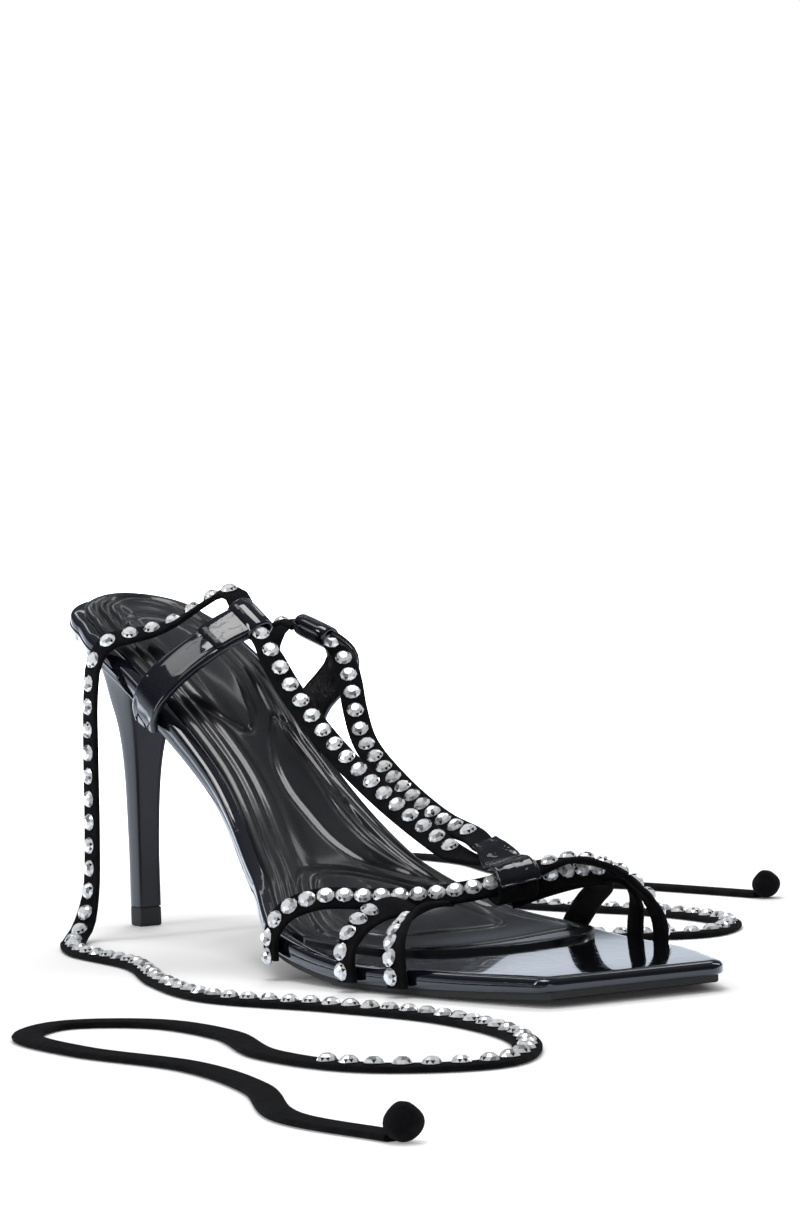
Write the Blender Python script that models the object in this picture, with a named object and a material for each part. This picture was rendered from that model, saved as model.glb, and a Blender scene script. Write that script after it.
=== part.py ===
"""Lace-up stiletto sandal for the right foot.

A patent-covered board stands on a thin outsole and a slim heel. Narrow straps cross over the forefoot,
two side straps end in loops, and two long flat ties run from the forefoot through the loops to the floor.

The tables are in millimetres and the meshes in metres. In the tables x runs from the back of the seat to
the toe, y to the inner side of the foot and z up from the floor.
"""

import math
from typing import NamedTuple

import bmesh
import bpy
import numpy as np

MM = 0.001
ORIGIN = np.array([111.1, 1.1, 0.0])
GAP = 0.3

# Last and sole
LENGTH = 222.0
SEAT_HEIGHT = 82.2
SEAT_SLOPE = 0.28
SEAT_REACH = 0.49
BALL_X = 173.0
BALL_REACH = 0.50
BALL_HEIGHT = 5.85
TOE_RISE = 0.5
SEAT_ROUND = 16.0
TOE_ROUND = 3.0
TOE_SKEW = 3.0
TOE_SKEW_X = 185.0
STATION_STEP = 8.0
BOARD_SEAT_THICK = 5.8
BOARD_BALL_THICK = 4.0
BOARD_TOE_THICK = 3.0
BOARD_TOP_ROUND = 1.5
BOARD_BOTTOM_ROUND = 0.7
OUTSOLE_THICK = 1.8
OUTSOLE_INSET = 1.3
OUTSOLE_ROUND = 0.4
OUTSOLE_BACK = 40.0

# Sock, the padded lining that the foot stands on
SOCK_THICK = 1.7
SOCK_CROWN = 0.8
SOCK_ARCH = 2.2
SOCK_ARCH_X = 92.0
SOCK_ARCH_SPAN = 34.0
SOCK_INSET = 3.4
SOCK_ROUND = 0.8
SOCK_FRONT = 191.0
SOCK_FRONT_ROUND = 30.0
SOCK_UNDER_ROUND = 0.2
SOCK_FADE_WIDTH = 24.0

# Heel and top lift
HEEL_FRONT = 15.5
HEEL_BACK = 8.0
HEEL_HALF_WIDTH = 3.0
LIFT_HEIGHT = 4.6
HEEL_SEAT_FRONT = 38.0
HEEL_SEAT_BACK = 2.0
HEEL_SEAT_X = 20.0
HEEL_SEAT_INSET = 2.2

# Straps and ties
STRAP_WIDTH = 6.0
STRAP_THICK = 1.5
SIDE_WIDTH = 10.6
SIDE_THICK = 1.9
LOOP_HOLE = 4.8
LOOP_CLEAR = 3.2
LOOP_WALL = 1.1
KEEPER_WIDTH = 8.2
KEEPER_THICK = 1.2
KEEPER_BEND = -3.0
KEEPER_CENTRE = np.array([165.2, 6.6])
KEEPER_AHEAD = np.array([0.93, -0.36])
KEEPER_TAB = np.array([0.995, 0.08])
TIE_WIDTH = 6.0
TIE_THICK = 1.5
KNOT_DIAMETER = 7.0
ROOT_SLACK = 0.15
VAMP_STEP = 3.0
SIDE_STEP = 3.5
KEEPER_STEP = 1.6
RUN_STEP = 5.0
END_STEP = 8.0
FLOOR_SLACK = 0.05


class Edge(NamedTuple):
    """The sole's edge at one place along the foot."""

    x: float
    outer: float
    inner: float


class HeelLevel(NamedTuple):
    """The heel's stem at one height."""

    z: float
    back: float
    front: float
    half_width: float


class Stop(NamedTuple):
    """A point on a strap's middle line and the way that its outer face looks."""

    x: float
    y: float
    z: float
    face_x: float
    face_y: float
    face_z: float


class Fold(NamedTuple):
    """A point on the keeper's fold, seen from its side."""

    along: float
    z: float


class Finish(NamedTuple):
    """The colour and gloss of a piece."""

    colour: tuple
    roughness: float
    metallic: float = 0.0


PATENT = Finish((0.008, 0.008, 0.010), 0.08)
NAPPA = Finish((0.014, 0.014, 0.016), 0.42)
SUEDE = Finish((0.012, 0.012, 0.013), 0.95)
RUBBER = Finish((0.030, 0.030, 0.033), 0.6)


EDGES = (
    Edge(16.0, -17.9, 19.2),
    Edge(25.0, -19.9, 20.9),
    Edge(45.0, -19.6, 21.1),
    Edge(75.0, -18.1, 17.3),
    Edge(105.0, -25.0, 20.4),
    Edge(135.0, -36.0, 29.6),
    Edge(157.0, -36.4, 37.6),
    Edge(188.0, -32.4, 34.0),
    Edge(LENGTH, -24.0, 20.4),
)

HEEL_LEVELS = (
    HeelLevel(LIFT_HEIGHT + GAP, HEEL_BACK, HEEL_FRONT, HEEL_HALF_WIDTH),
    HeelLevel(22.0, 8.1, 15.8, 3.1),
    HeelLevel(40.0, 7.8, 17.2, 3.9),
    HeelLevel(50.0, 7.0, 19.2, 5.4),
    HeelLevel(57.0, 5.6, 22.0, 7.6),
)


def between_rows(rows, column, x):
    """A smooth value between the rows of a table, with no overshoot.

    Args:
        rows: Rows whose first column is the place.
        column: The number of the column to read.
        x: The place.

    Returns:
        The value at that place.
    """
    places = np.array([row[0] for row in rows])
    values = np.array([row[column] for row in rows])
    steps = np.diff(places)
    slopes = np.diff(values) / steps
    turns = np.zeros(len(rows))
    turns[0], turns[-1] = slopes[0], slopes[-1]
    for i in range(1, len(rows) - 1):
        if slopes[i - 1] * slopes[i] > 0:
            turns[i] = 2 * slopes[i - 1] * slopes[i] / (slopes[i - 1] + slopes[i])
    i = int(np.clip(np.searchsorted(places, x) - 1, 0, len(rows) - 2))
    t = (x - places[i]) / steps[i]
    return (
        (1 + 2 * t) * (1 - t) ** 2 * values[i]
        + t * (1 - t) ** 2 * steps[i] * turns[i]
        + t * t * (3 - 2 * t) * values[i + 1]
        - t * t * (1 - t) * steps[i] * turns[i + 1]
    )


def edge(x, side):
    """The sole's edge at x: side is 1 for the outer edge and 2 for the inner one."""
    if x < SEAT_ROUND:
        ahead = (SEAT_ROUND - x) / SEAT_ROUND
        return EDGES[0][side] * math.sqrt(max(0.0, 1 - ahead * ahead))
    pulled = max(0.0, x - (LENGTH - TOE_ROUND)) / TOE_ROUND
    corner = TOE_ROUND * (1 - math.sqrt(max(0.0, 1 - pulled * pulled)))
    return between_rows(EDGES, side, x) + (corner if side == 1 else -corner)


def cubic(a, b, c, d, t):
    """A point on a cubic curve."""
    s = 1 - t
    return s**3 * a + 3 * s * s * t * b + 3 * s * t * t * c + t**3 * d


def profile():
    """The side view of the last as two rows of numbers, x and height, from seat to toe."""
    t = np.linspace(0, 1, 80)
    reach = SEAT_REACH * BALL_X
    x = cubic(0, reach, BALL_X * (1 - BALL_REACH), BALL_X, t)
    z = cubic(SEAT_HEIGHT, SEAT_HEIGHT - SEAT_SLOPE * reach, BALL_HEIGHT, BALL_HEIGHT, t)
    toe = np.linspace(BALL_X, LENGTH, 12)[1:]
    rise = TOE_RISE * ((toe - BALL_X) / (LENGTH - BALL_X)) ** 2
    return np.concatenate([x, toe]), np.concatenate([z, BALL_HEIGHT + rise])


PROFILE_X, PROFILE_Z = profile()


def board_top(x):
    """The height of the board's top."""
    return float(np.interp(x, PROFILE_X, PROFILE_Z))


def board_bottom(x):
    """The height of the board's underside."""
    places = (0.0, 60.0, BALL_X, LENGTH)
    thick = (BOARD_SEAT_THICK, BOARD_SEAT_THICK, BOARD_BALL_THICK, BOARD_TOE_THICK)
    return board_top(x) - float(np.interp(x, places, thick))


def outsole_bottom(x):
    """The height of the outsole's underside, flat on the floor under the ball."""
    return max(0.0, board_bottom(x) - GAP - OUTSOLE_THICK)


def material(name, finish):
    """The material of one piece."""
    made = bpy.data.materials.new(name + "_finish")
    made.use_nodes = True
    shader = made.node_tree.nodes["Principled BSDF"]
    shader.inputs["Base Color"].default_value = (*finish.colour, 1.0)
    shader.inputs["Roughness"].default_value = finish.roughness
    shader.inputs["Metallic"].default_value = finish.metallic
    return made


def add_mesh(name, points, faces, finish, collection):
    """An object from points in millimetres, with its faces turned outwards."""
    mesh = bpy.data.meshes.new(name)
    mesh.from_pydata([tuple((np.array(p) - ORIGIN) * MM) for p in points], [], faces)
    work = bmesh.new()
    work.from_mesh(mesh)
    bmesh.ops.recalc_face_normals(work, faces=work.faces)
    work.to_mesh(mesh)
    work.free()
    mesh.shade_smooth()
    mesh.set_sharp_from_angle(angle=math.radians(40))
    mesh.materials.append(material(name, finish))
    made = bpy.data.objects.new(name, mesh)
    collection.objects.link(made)
    return made


def loft(name, rings, finish, collection):
    """A closed body through rings of equal count, with a face over each end."""
    count = len(rings[0])
    points = [p for ring in rings for p in ring]
    faces = [tuple(range(count)), tuple(range(len(points) - count, len(points)))]
    for row in range(len(rings) - 1):
        for i in range(count):
            j = (i + 1) % count
            a, b = row * count + i, row * count + j
            faces.append((a, b, b + count, a + count))
    return add_mesh(name, points, faces, finish, collection)


def corner(y, z, radius, start):
    """Three points round a quarter circle: y and z are its centre and start its first angle."""
    turns = [math.radians(start + 45 * i) for i in range(3)]
    return [(y + radius * math.cos(a), z + radius * math.sin(a)) for a in turns]


def slab_ring(x, outer, inner, low, high, low_round, high_round, crown):
    """A cross section of a flat layer with rounded edges.

    Args:
        x: The place along the foot.
        outer: The outer edge.
        inner: The inner edge.
        low: The height of the underside.
        high: The height of the top.
        low_round: The radius along the lower edges.
        high_round: The radius along the upper edges.
        crown: How far the top rises, as a function of the share of the width.

    Returns:
        The points of the ring.
    """
    most = 0.45 * min(inner - outer, high - low)
    lower, upper = min(low_round, most), min(high_round, most)
    flat = corner(outer + lower, low + lower, lower, 180)
    flat += corner(inner - lower, low + lower, lower, 270)
    flat += corner(inner - upper, high - upper, upper, 0)
    shares = np.linspace(1, 0, 9)[1:-1]
    span = inner - outer - 2 * upper
    flat += [(outer + upper + span * s, high + crown(s)) for s in shares]
    flat += corner(outer + upper, high - upper, upper, 90)
    lag = TOE_SKEW * np.clip((x - TOE_SKEW_X) / (LENGTH - TOE_SKEW_X), 0, 1) ** 2
    wide = edge(x, 2) - edge(x, 1)
    return [(x - lag * (edge(x, 2) - y) / max(wide, 1.0), y, z) for y, z in flat]


def stations(start, end, round_back, round_front):
    """Places along the foot, closer together where an end is rounded."""
    places = []
    if round_back:
        places += [start + round_back * (1 - math.cos(math.radians(a))) for a in range(10, 90, 16)]
    first, last = start + round_back, end - round_front
    places += np.linspace(first, last, max(2, round((last - first) / STATION_STEP))).tolist()
    if round_front:
        places += [last + round_front * math.sin(math.radians(a)) for a in (30, 50, 66, 78, 86)]
    return places


def make_board(finish, collection):
    """The covered insole board with its square toe."""
    rings = []
    for x in stations(0.0, LENGTH, SEAT_ROUND, TOE_ROUND):
        rings.append(
            slab_ring(
                x, edge(x, 1), edge(x, 2), board_bottom(x), board_top(x),
                BOARD_BOTTOM_ROUND, BOARD_TOP_ROUND, lambda share: 0.0,
            )
        )
    return loft("covered_board", rings, finish, collection)


def make_outsole(finish, collection):
    """The thin outsole from the heel's front to the toe."""
    rings = []
    for x in stations(OUTSOLE_BACK, LENGTH - OUTSOLE_INSET, 0.0, TOE_ROUND):
        outer = edge(x, 1) + OUTSOLE_INSET
        inner = edge(x, 2) - OUTSOLE_INSET
        high = board_bottom(x) - GAP
        rings.append(
            slab_ring(
                x, outer, inner, outsole_bottom(x), high,
                OUTSOLE_ROUND, OUTSOLE_ROUND, lambda share: 0.0,
            )
        )
    return loft("outsole", rings, finish, collection)


def sock_top(x, share):
    """How far the sock's top rises over its edge: a low crown and a raised inner arch."""
    crown = SOCK_CROWN * math.sin(math.pi * share)
    along = math.exp(-(((x - SOCK_ARCH_X) / SOCK_ARCH_SPAN) ** 2))
    return crown + SOCK_ARCH * along * share * share * (1.6 - 0.9 * share)


def make_sock(finish, collection):
    """The padded sock on the board, with a round front end."""
    rings = []
    for x in stations(SOCK_INSET, SOCK_FRONT, SEAT_ROUND, SOCK_FRONT_ROUND):
        behind = min(x, SEAT_ROUND + SOCK_INSET)
        seat_share = math.sqrt(1 - ((SEAT_ROUND + SOCK_INSET - behind) / SEAT_ROUND) ** 2)
        outer = (edge(max(x, SEAT_ROUND + SOCK_INSET), 1) + SOCK_INSET) * seat_share
        inner = (edge(max(x, SEAT_ROUND + SOCK_INSET), 2) - SOCK_INSET) * seat_share
        ahead = max(0.0, (x - (SOCK_FRONT - SOCK_FRONT_ROUND)) / SOCK_FRONT_ROUND)
        front_share = math.sqrt(max(0.0, 1 - ahead * ahead))
        middle = (outer + inner) / 2
        outer = middle + (outer - middle) * front_share
        inner = middle + (inner - middle) * front_share
        low = board_top(x) + GAP
        rise = min(1.0, (inner - outer) / SOCK_FADE_WIDTH)
        rings.append(
            slab_ring(
                x, outer, inner, low, low + SOCK_THICK, SOCK_UNDER_ROUND, SOCK_ROUND,
                lambda share, x=x, rise=rise: rise * sock_top(x, share),
            )
        )
    return loft("sock", rings, finish, collection)


def heel_ring(back, front, half_width, height):
    """A ring round the heel: a flat front, flat sides and a round back, in pairs from front to back."""
    depth = front - back
    shape = ((0.0, 0.82), (0.0, 1.0), (0.35, 1.0), (0.62, 0.94), (0.82, 0.74), (0.95, 0.42))
    side = [(front - depth * along, half_width * out) for along, out in shape]
    ring = [(x, -y, height(x)) for x, y in side]
    ring.append((back, 0.0, height(back)))
    ring += [(x, y, height(x)) for x, y in reversed(side)]
    return ring


def make_heel(finish, collection):
    """The slim heel, flared at its top to the seat."""
    rings = []
    for level in HEEL_LEVELS:
        rings.append(heel_ring(level.back, level.front, level.half_width, lambda x, z=level.z: z))
    stem = HEEL_LEVELS[-1]
    half = edge(HEEL_SEAT_X, 2) - HEEL_SEAT_INSET
    for share in (0.4, 0.75, 1.0):
        back = stem.back + (HEEL_SEAT_BACK - stem.back) * share
        front = stem.front + (HEEL_SEAT_FRONT - stem.front) * share
        width = stem.half_width + (half - stem.half_width) * share**1.3
        under = share**0.8

        def height(x, under=under):
            """The seat's underside, reached as the heel widens."""
            return stem.z + (board_bottom(x) - GAP - stem.z) * under

        rings.append(heel_ring(back, front, width, height))
    return loft("heel", rings, finish, collection)


def make_top_lift(finish, collection):
    """The block under the heel."""
    rings = []
    for z in (0.0, LIFT_HEIGHT):
        rings.append(heel_ring(HEEL_BACK, HEEL_FRONT, HEEL_HALF_WIDTH, lambda x, z=z: z))
    return loft("top_lift", rings, finish, collection)


def smooth_route(stops, spacing):
    """Points at even steps on a smooth curve through the stops, with all their columns."""
    knots = np.array(stops, float)
    chords = np.linalg.norm(np.diff(knots[:, :3], axis=0), axis=1)
    along = np.concatenate([[0], np.cumsum(np.sqrt(chords))])
    turns = np.gradient(knots, along, axis=0)
    fine = []
    for i in range(len(knots) - 1):
        step = along[i + 1] - along[i]
        for t in np.linspace(0, 1, 24, endpoint=False):
            fine.append(
                (1 + 2 * t) * (1 - t) ** 2 * knots[i]
                + t * (1 - t) ** 2 * step * turns[i]
                + t * t * (3 - 2 * t) * knots[i + 1]
                - t * t * (1 - t) * step * turns[i + 1]
            )
    fine = np.array(fine + [knots[-1]])
    walked = np.concatenate([[0], np.cumsum(np.linalg.norm(np.diff(fine[:, :3], axis=0), axis=1))])
    places = np.linspace(0, walked[-1], max(3, round(walked[-1] / spacing) + 1))
    return np.stack([np.interp(places, walked, fine[:, k]) for k in range(fine.shape[1])], axis=1)


def unit(vector):
    """The vector at length one."""
    return vector / max(np.linalg.norm(vector), 1e-9)


def strap_frames(stops, spacing):
    """The places, directions, widths and faces along a strap."""
    line = smooth_route(stops, spacing)
    frames = []
    for i in range(len(line)):
        ahead = unit(line[min(i + 1, len(line) - 1), :3] - line[max(i - 1, 0), :3])
        face = unit(line[i, 3:] - ahead * float(line[i, 3:] @ ahead))
        frames.append((line[i, :3], ahead, np.cross(ahead, face), face))
    return frames


def make_strap(name, stops, width, thick, spacing, finish, collection):
    """A flat strap with softened edges along its stops."""
    half, deep, soft = width / 2, thick / 2, thick * 0.3
    section = (
        (-half, 0.0), (-half + soft, deep), (half - soft, deep),
        (half, 0.0), (half - soft, -deep), (-half + soft, -deep),
    )
    rings = []
    for place, _, across, face in strap_frames(stops, spacing):
        lift = max(0.0, deep + FLOOR_SLACK - place[2]) * np.array([0.0, 0.0, 1.0])
        rings.append([place + lift + across * a + face * b for a, b in section])
    return loft(name, rings, finish, collection)


def join(target, tools):
    """Joins bodies to the target with Boolean modifiers."""
    for tool in tools:
        tool.hide_render = True
        tool.display_type = "WIRE"
        union = target.modifiers.new("join_" + tool.name, "BOOLEAN")
        union.operation = "UNION"
        union.solver = "EXACT"
        union.object = tool


def root(x, side, height, thick=STRAP_THICK):
    """A stop on the board's side, where a strap starts: side is 1 for outer and 2 for inner."""
    sign = -1 if side == 1 else 1
    slope = (edge(x + 1.0, side) - edge(x - 1.0, side)) / 2.0
    face = sign * unit(np.array([-slope, 1.0]))
    away = face * (GAP + thick / 2 + ROOT_SLACK)
    return Stop(x + away[0], edge(x, side) + away[1], height, face[0], face[1], 0.0)


def make_vamp(finish, collection, tools):
    """The three straps that cross over the forefoot, joined where they meet."""
    rear = (
        root(134.0, 1, 5.6),
        root(134.0, 1, 10.4),
        Stop(135.6, -35.2, 14.8, 0.1, -0.9, 0.45),
        Stop(140.2, -29.4, 17.8, 0.35, -0.6, 0.72),
        Stop(148.0, -18.6, 17.5, 0.5, -0.45, 0.74),
        Stop(155.0, -8.4, 17.9, 0.55, -0.35, 0.75),
        Stop(162.4, 3.0, 20.6, 0.55, -0.25, 0.8),
        Stop(167.0, 12.0, 23.4, 0.4, -0.05, 0.9),
        Stop(170.4, 18.8, 24.6, 0.15, 0.15, 0.97),
        Stop(173.4, 26.4, 22.7, 0.1, 0.55, 0.83),
        Stop(175.6, 32.4, 18.4, 0.05, 0.85, 0.5),
        root(177.0, 2, 10.4),
        root(177.2, 2, 3.0),
    )
    middle = (
        root(161.8, 1, 3.4),
        root(161.6, 1, 9.2),
        Stop(161.0, -32.8, 13.2, 0.15, -0.85, 0.5),
        Stop(158.8, -26.0, 15.8, 0.4, -0.55, 0.73),
        Stop(155.6, -16.2, 15.9, 0.55, -0.4, 0.74),
        Stop(158.2, -7.6, 16.3, 0.6, -0.35, 0.72),
        Stop(164.8, 3.4, 18.6, 0.6, -0.3, 0.74),
        Stop(168.0, 14.0, 20.8, 0.6, 0.0, 0.8),
        Stop(168.2, 24.0, 21.3, 0.5, 0.3, 0.81),
        Stop(166.8, 33.0, 19.2, 0.3, 0.7, 0.65),
        Stop(165.0, 38.2, 14.0, 0.1, 0.95, 0.3),
        root(164.6, 2, 9.0),
        root(164.5, 2, 3.2),
    )
    front = (
        root(177.4, 1, 3.0),
        root(177.2, 1, 8.8),
        Stop(175.6, -31.0, 12.6, 0.2, -0.85, 0.5),
        Stop(170.2, -23.6, 14.7, 0.5, -0.5, 0.71),
        Stop(163.6, -12.6, 15.0, 0.65, -0.35, 0.68),
        Stop(163.8, -2.4, 15.8, 0.65, -0.3, 0.7),
        Stop(168.0, 7.6, 17.6, 0.65, -0.2, 0.73),
        Stop(169.2, 18.0, 19.2, 0.6, 0.1, 0.79),
        Stop(167.2, 28.0, 19.0, 0.3, 0.5, 0.8),
        Stop(162.2, 35.6, 16.4, -0.1, 0.8, 0.6),
        Stop(155.4, 39.4, 12.0, -0.2, 0.95, 0.25),
        root(150.6, 2, 8.6),
        root(149.4, 2, 4.6),
    )
    made = make_strap("vamp_straps", rear, STRAP_WIDTH, STRAP_THICK, VAMP_STEP, finish, collection)
    others = [
        make_strap("vamp_middle", middle, STRAP_WIDTH, STRAP_THICK, VAMP_STEP, finish, tools),
        make_strap("vamp_front", front, STRAP_WIDTH, STRAP_THICK, VAMP_STEP, finish, tools),
    ]
    join(made, others)
    return made


def racetrack(long, deep):
    """An outline with straight sides and round ends, as pairs along and out."""
    radius = deep / 2
    straight = long / 2 - radius
    turns = [math.radians(a) for a in range(-90, 91, 30)]
    ahead = [(straight + radius * math.cos(a), radius * math.sin(a)) for a in turns]
    return ahead + [(-a, -b) for a, b in ahead]


def make_tunnel(name, frame, finish, collection):
    """The loop at a side strap's end, a flat tunnel across the strap."""
    place, ahead, across, face = frame
    hole = racetrack(LOOP_HOLE, LOOP_CLEAR)
    skin = racetrack(LOOP_HOLE + 2 * LOOP_WALL, LOOP_CLEAR + 2 * LOOP_WALL)
    middle = place + ahead * (LOOP_HOLE / 2 + LOOP_WALL * 0.35)
    points = []
    for outline in (skin, hole):
        for side in (-SIDE_WIDTH / 2, SIDE_WIDTH / 2):
            points += [middle + ahead * a + face * b + across * side for a, b in outline]
    count = len(hole)
    faces = []
    for i in range(count):
        j = (i + 1) % count
        for first, second in ((0, 1), (1, 3), (3, 2), (2, 0)):
            a, b = first * count, second * count
            faces.append((a + i, a + j, b + j, b + i))
    return add_mesh(name, points, faces, finish, collection)


def make_side_strap(name, stops, finish, collection, tools):
    """A side strap and its loop in one piece."""
    made = make_strap(name, stops, SIDE_WIDTH, SIDE_THICK, SIDE_STEP, finish, collection)
    tunnel = make_tunnel(name + "_tunnel", strap_frames(stops, SIDE_STEP)[-1], finish, tools)
    join(made, [tunnel])
    return made


OUTER_SIDE = (
    root(49.8, 1, 57.6, SIDE_THICK),
    root(52.2, 1, 62.0, SIDE_THICK),
    Stop(54.8, -18.8, 67.0, 0.15, -0.9, 0.4),
    Stop(57.6, -13.2, 71.4, 0.35, -0.65, 0.66),
    Stop(60.0, -6.6, 74.2, 0.5, -0.45, 0.74),
    Stop(62.2, 0.6, 75.8, 0.59, -0.31, 0.74),
)
INNER_SIDE = (
    root(60.0, 2, 51.0, SIDE_THICK),
    root(61.2, 2, 55.4, SIDE_THICK),
    Stop(62.4, 20.8, 60.2, -0.25, 0.95, -0.15),
    Stop(62.2, 21.2, 64.6, -0.55, 0.82, -0.2),
    Stop(62.0, 21.8, 68.2, -0.72, 0.66, -0.15),
)


KEEPER_FOLD = (
    Fold(-12.5, 29.2),
    Fold(-7.5, 28.1),
    Fold(-2.6, 26.2),
    Fold(1.2, 24.3),
    Fold(4.0, 21.5),
    Fold(6.0, 18.0),
    Fold(6.3, 15.0),
    Fold(5.0, 13.4),
    Fold(3.0, 13.6),
    Fold(0.4, 15.3),
    Fold(-2.6, 17.9),
    Fold(-6.6, 21.0),
    Fold(-12.5, 22.2),
)


def make_keeper(finish, collection):
    """The folded tab that holds the crossing straps and the ties' ends."""
    stops = []
    for i, (along, z) in enumerate(KEEPER_FOLD):
        loop, tab = max(along, KEEPER_BEND), min(along - KEEPER_BEND, 0.0)
        x, y = KEEPER_CENTRE + KEEPER_AHEAD * loop + KEEPER_TAB * tab
        before = KEEPER_FOLD[max(i - 1, 0)]
        after = KEEPER_FOLD[min(i + 1, len(KEEPER_FOLD) - 1)]
        out = unit(np.array([before.z - after.z, after.along - before.along]))
        stops.append(Stop(x, y, z, out[0] * KEEPER_AHEAD[0], out[0] * KEEPER_AHEAD[1], out[1]))
    return make_strap("keeper", stops, KEEPER_WIDTH, KEEPER_THICK, KEEPER_STEP, finish, collection)


OUTER_RUN = (
    Stop(156.0, 7.2, 24.1, 0.05, 0.0, 1.0),
    Stop(150.4, 6.0, 24.3, 0.1, -0.05, 0.99),
    Stop(144.0, 5.0, 25.7, 0.3, -0.35, 0.88),
    Stop(135.6, 5.1, 28.6, 0.4, -0.5, 0.77),
    Stop(115.8, 4.5, 37.2, 0.45, -0.5, 0.74),
    Stop(95.5, 3.9, 48.4, 0.45, -0.5, 0.74),
    Stop(80.0, 3.2, 60.2, 0.45, -0.45, 0.77),
    Stop(69.4, 2.6, 71.2, 0.55, -0.37, 0.73),
)
INNER_RUN = (
    Stop(157.0, 7.6, 26.2, 0.05, 0.0, 1.0),
    Stop(151.6, 8.6, 27.0, 0.1, -0.05, 0.99),
    Stop(144.4, 10.8, 28.8, 0.3, -0.35, 0.88),
    Stop(129.6, 12.0, 31.4, 0.4, -0.5, 0.77),
    Stop(104.3, 15.8, 39.4, 0.45, -0.5, 0.74),
    Stop(86.2, 18.6, 47.8, 0.5, -0.5, 0.7),
    Stop(77.2, 20.4, 55.0, 0.6, -0.5, 0.6),
    Stop(72.6, 22.8, 61.4, 0.7, -0.45, 0.5),
    Stop(68.6, 27.0, 67.0, 0.7, -0.5, 0.5),
)


def lying(x, y):
    """A stop on a tie that lies flat on the floor."""
    return Stop(x, y, TIE_THICK / 2 + FLOOR_SLACK, 0.0, 0.0, 1.0)


OUTER_END = (
    Stop(57.0, 4.2, 80.4, 0.6, -0.3, 0.74),
    Stop(53.2, 4.6, 83.0, 0.45, -0.2, 0.87),
    Stop(48.8, 3.4, 82.8, 0.1, -0.3, 0.95),
    Stop(44.6, 0.2, 79.8, -0.2, -0.4, 0.85),
    Stop(41.0, -4.8, 76.2, 0.0, -0.3, 0.9),
    Stop(38.2, -10.0, 74.2, 0.3, -0.2, 0.9),
    Stop(36.0, -15.6, 73.2, 0.4, -0.3, 0.86),
    Stop(34.4, -20.2, 72.0, 0.35, -0.65, 0.68),
    Stop(33.2, -23.2, 67.6, 0.1, -0.95, 0.3),
    Stop(32.5, -24.2, 60.0, 0.0, -1.0, 0.0),
    Stop(32.0, -24.6, 44.0, 0.05, -1.0, 0.0),
    Stop(32.0, -25.0, 26.0, 0.05, -1.0, 0.0),
    Stop(32.2, -26.0, 12.0, 0.1, -0.95, 0.3),
    Stop(33.8, -29.2, 4.2, 0.3, -0.5, 0.8),
    lying(38.4, -34.6),
    lying(58.0, -44.0),
    lying(92.0, -48.0),
    lying(124.0, -60.0),
    lying(156.0, -66.0),
    lying(190.0, -56.0),
    lying(224.0, -50.0),
    lying(262.0, -58.0),
    lying(282.0, -78.0),
    lying(270.0, -98.0),
    lying(240.0, -103.0),
    lying(208.0, -94.0),
    lying(182.0, -96.0),
    lying(170.0, -110.0),
    lying(180.0, -124.0),
    lying(208.0, -127.0),
    lying(242.0, -122.0),
    lying(276.0, -128.0),
    lying(310.0, -142.0),
    lying(342.0, -140.0),
)
INNER_END = (
    Stop(56.8, 16.9, 71.6, -0.7, 0.6, 0.3),
    Stop(54.0, 14.4, 72.8, -0.5, 0.45, 0.75),
    Stop(50.6, 13.4, 73.0, -0.2, 0.1, 0.97),
    Stop(47.0, 14.6, 71.6, 0.0, 0.0, 1.0),
    Stop(43.6, 17.4, 70.6, 0.3, 0.2, 0.93),
    Stop(40.8, 21.6, 69.8, 0.4, 0.6, 0.7),
    Stop(39.0, 24.4, 65.4, 0.1, 0.95, 0.3),
    Stop(37.8, 25.4, 57.6, 0.0, 1.0, 0.0),
    Stop(37.0, 25.8, 42.0, 0.05, 1.0, 0.0),
    Stop(37.0, 26.2, 26.0, 0.05, 1.0, 0.0),
    Stop(37.4, 27.2, 12.0, 0.1, 0.95, 0.3),
    Stop(39.4, 30.6, 4.2, 0.3, 0.5, 0.8),
    lying(44.4, 36.0),
    lying(66.0, 46.0),
    lying(98.0, 48.0),
    lying(128.0, 58.0),
    lying(142.0, 76.0),
    lying(128.0, 94.0),
    lying(96.0, 96.0),
    lying(64.0, 86.0),
    lying(30.0, 82.0),
    lying(-4.0, 92.0),
    lying(-40.0, 90.0),
    lying(-76.0, 96.0),
    lying(-96.0, 114.0),
    lying(-84.0, 134.0),
    lying(-54.0, 139.0),
    lying(-20.0, 130.0),
    lying(14.0, 124.0),
    lying(48.0, 132.0),
    lying(84.0, 138.0),
)


def make_knot(name, stops, finish, collection):
    """The ball knot that closes a tie's free end."""
    last, before = np.array(stops[-1][:2]), np.array(stops[-2][:2])
    radius = KNOT_DIAMETER / 2
    x, y = last + unit(last - before) * (radius + GAP)
    mesh = bpy.data.meshes.new(name)
    work = bmesh.new()
    bmesh.ops.create_uvsphere(work, u_segments=16, v_segments=10, radius=radius * MM)
    work.to_mesh(mesh)
    work.free()
    mesh.shade_smooth()
    mesh.materials.append(material(name, finish))
    made = bpy.data.objects.new(name, mesh)
    made.location = (np.array([x, y, radius]) - ORIGIN) * MM
    collection.objects.link(made)
    return made


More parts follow.
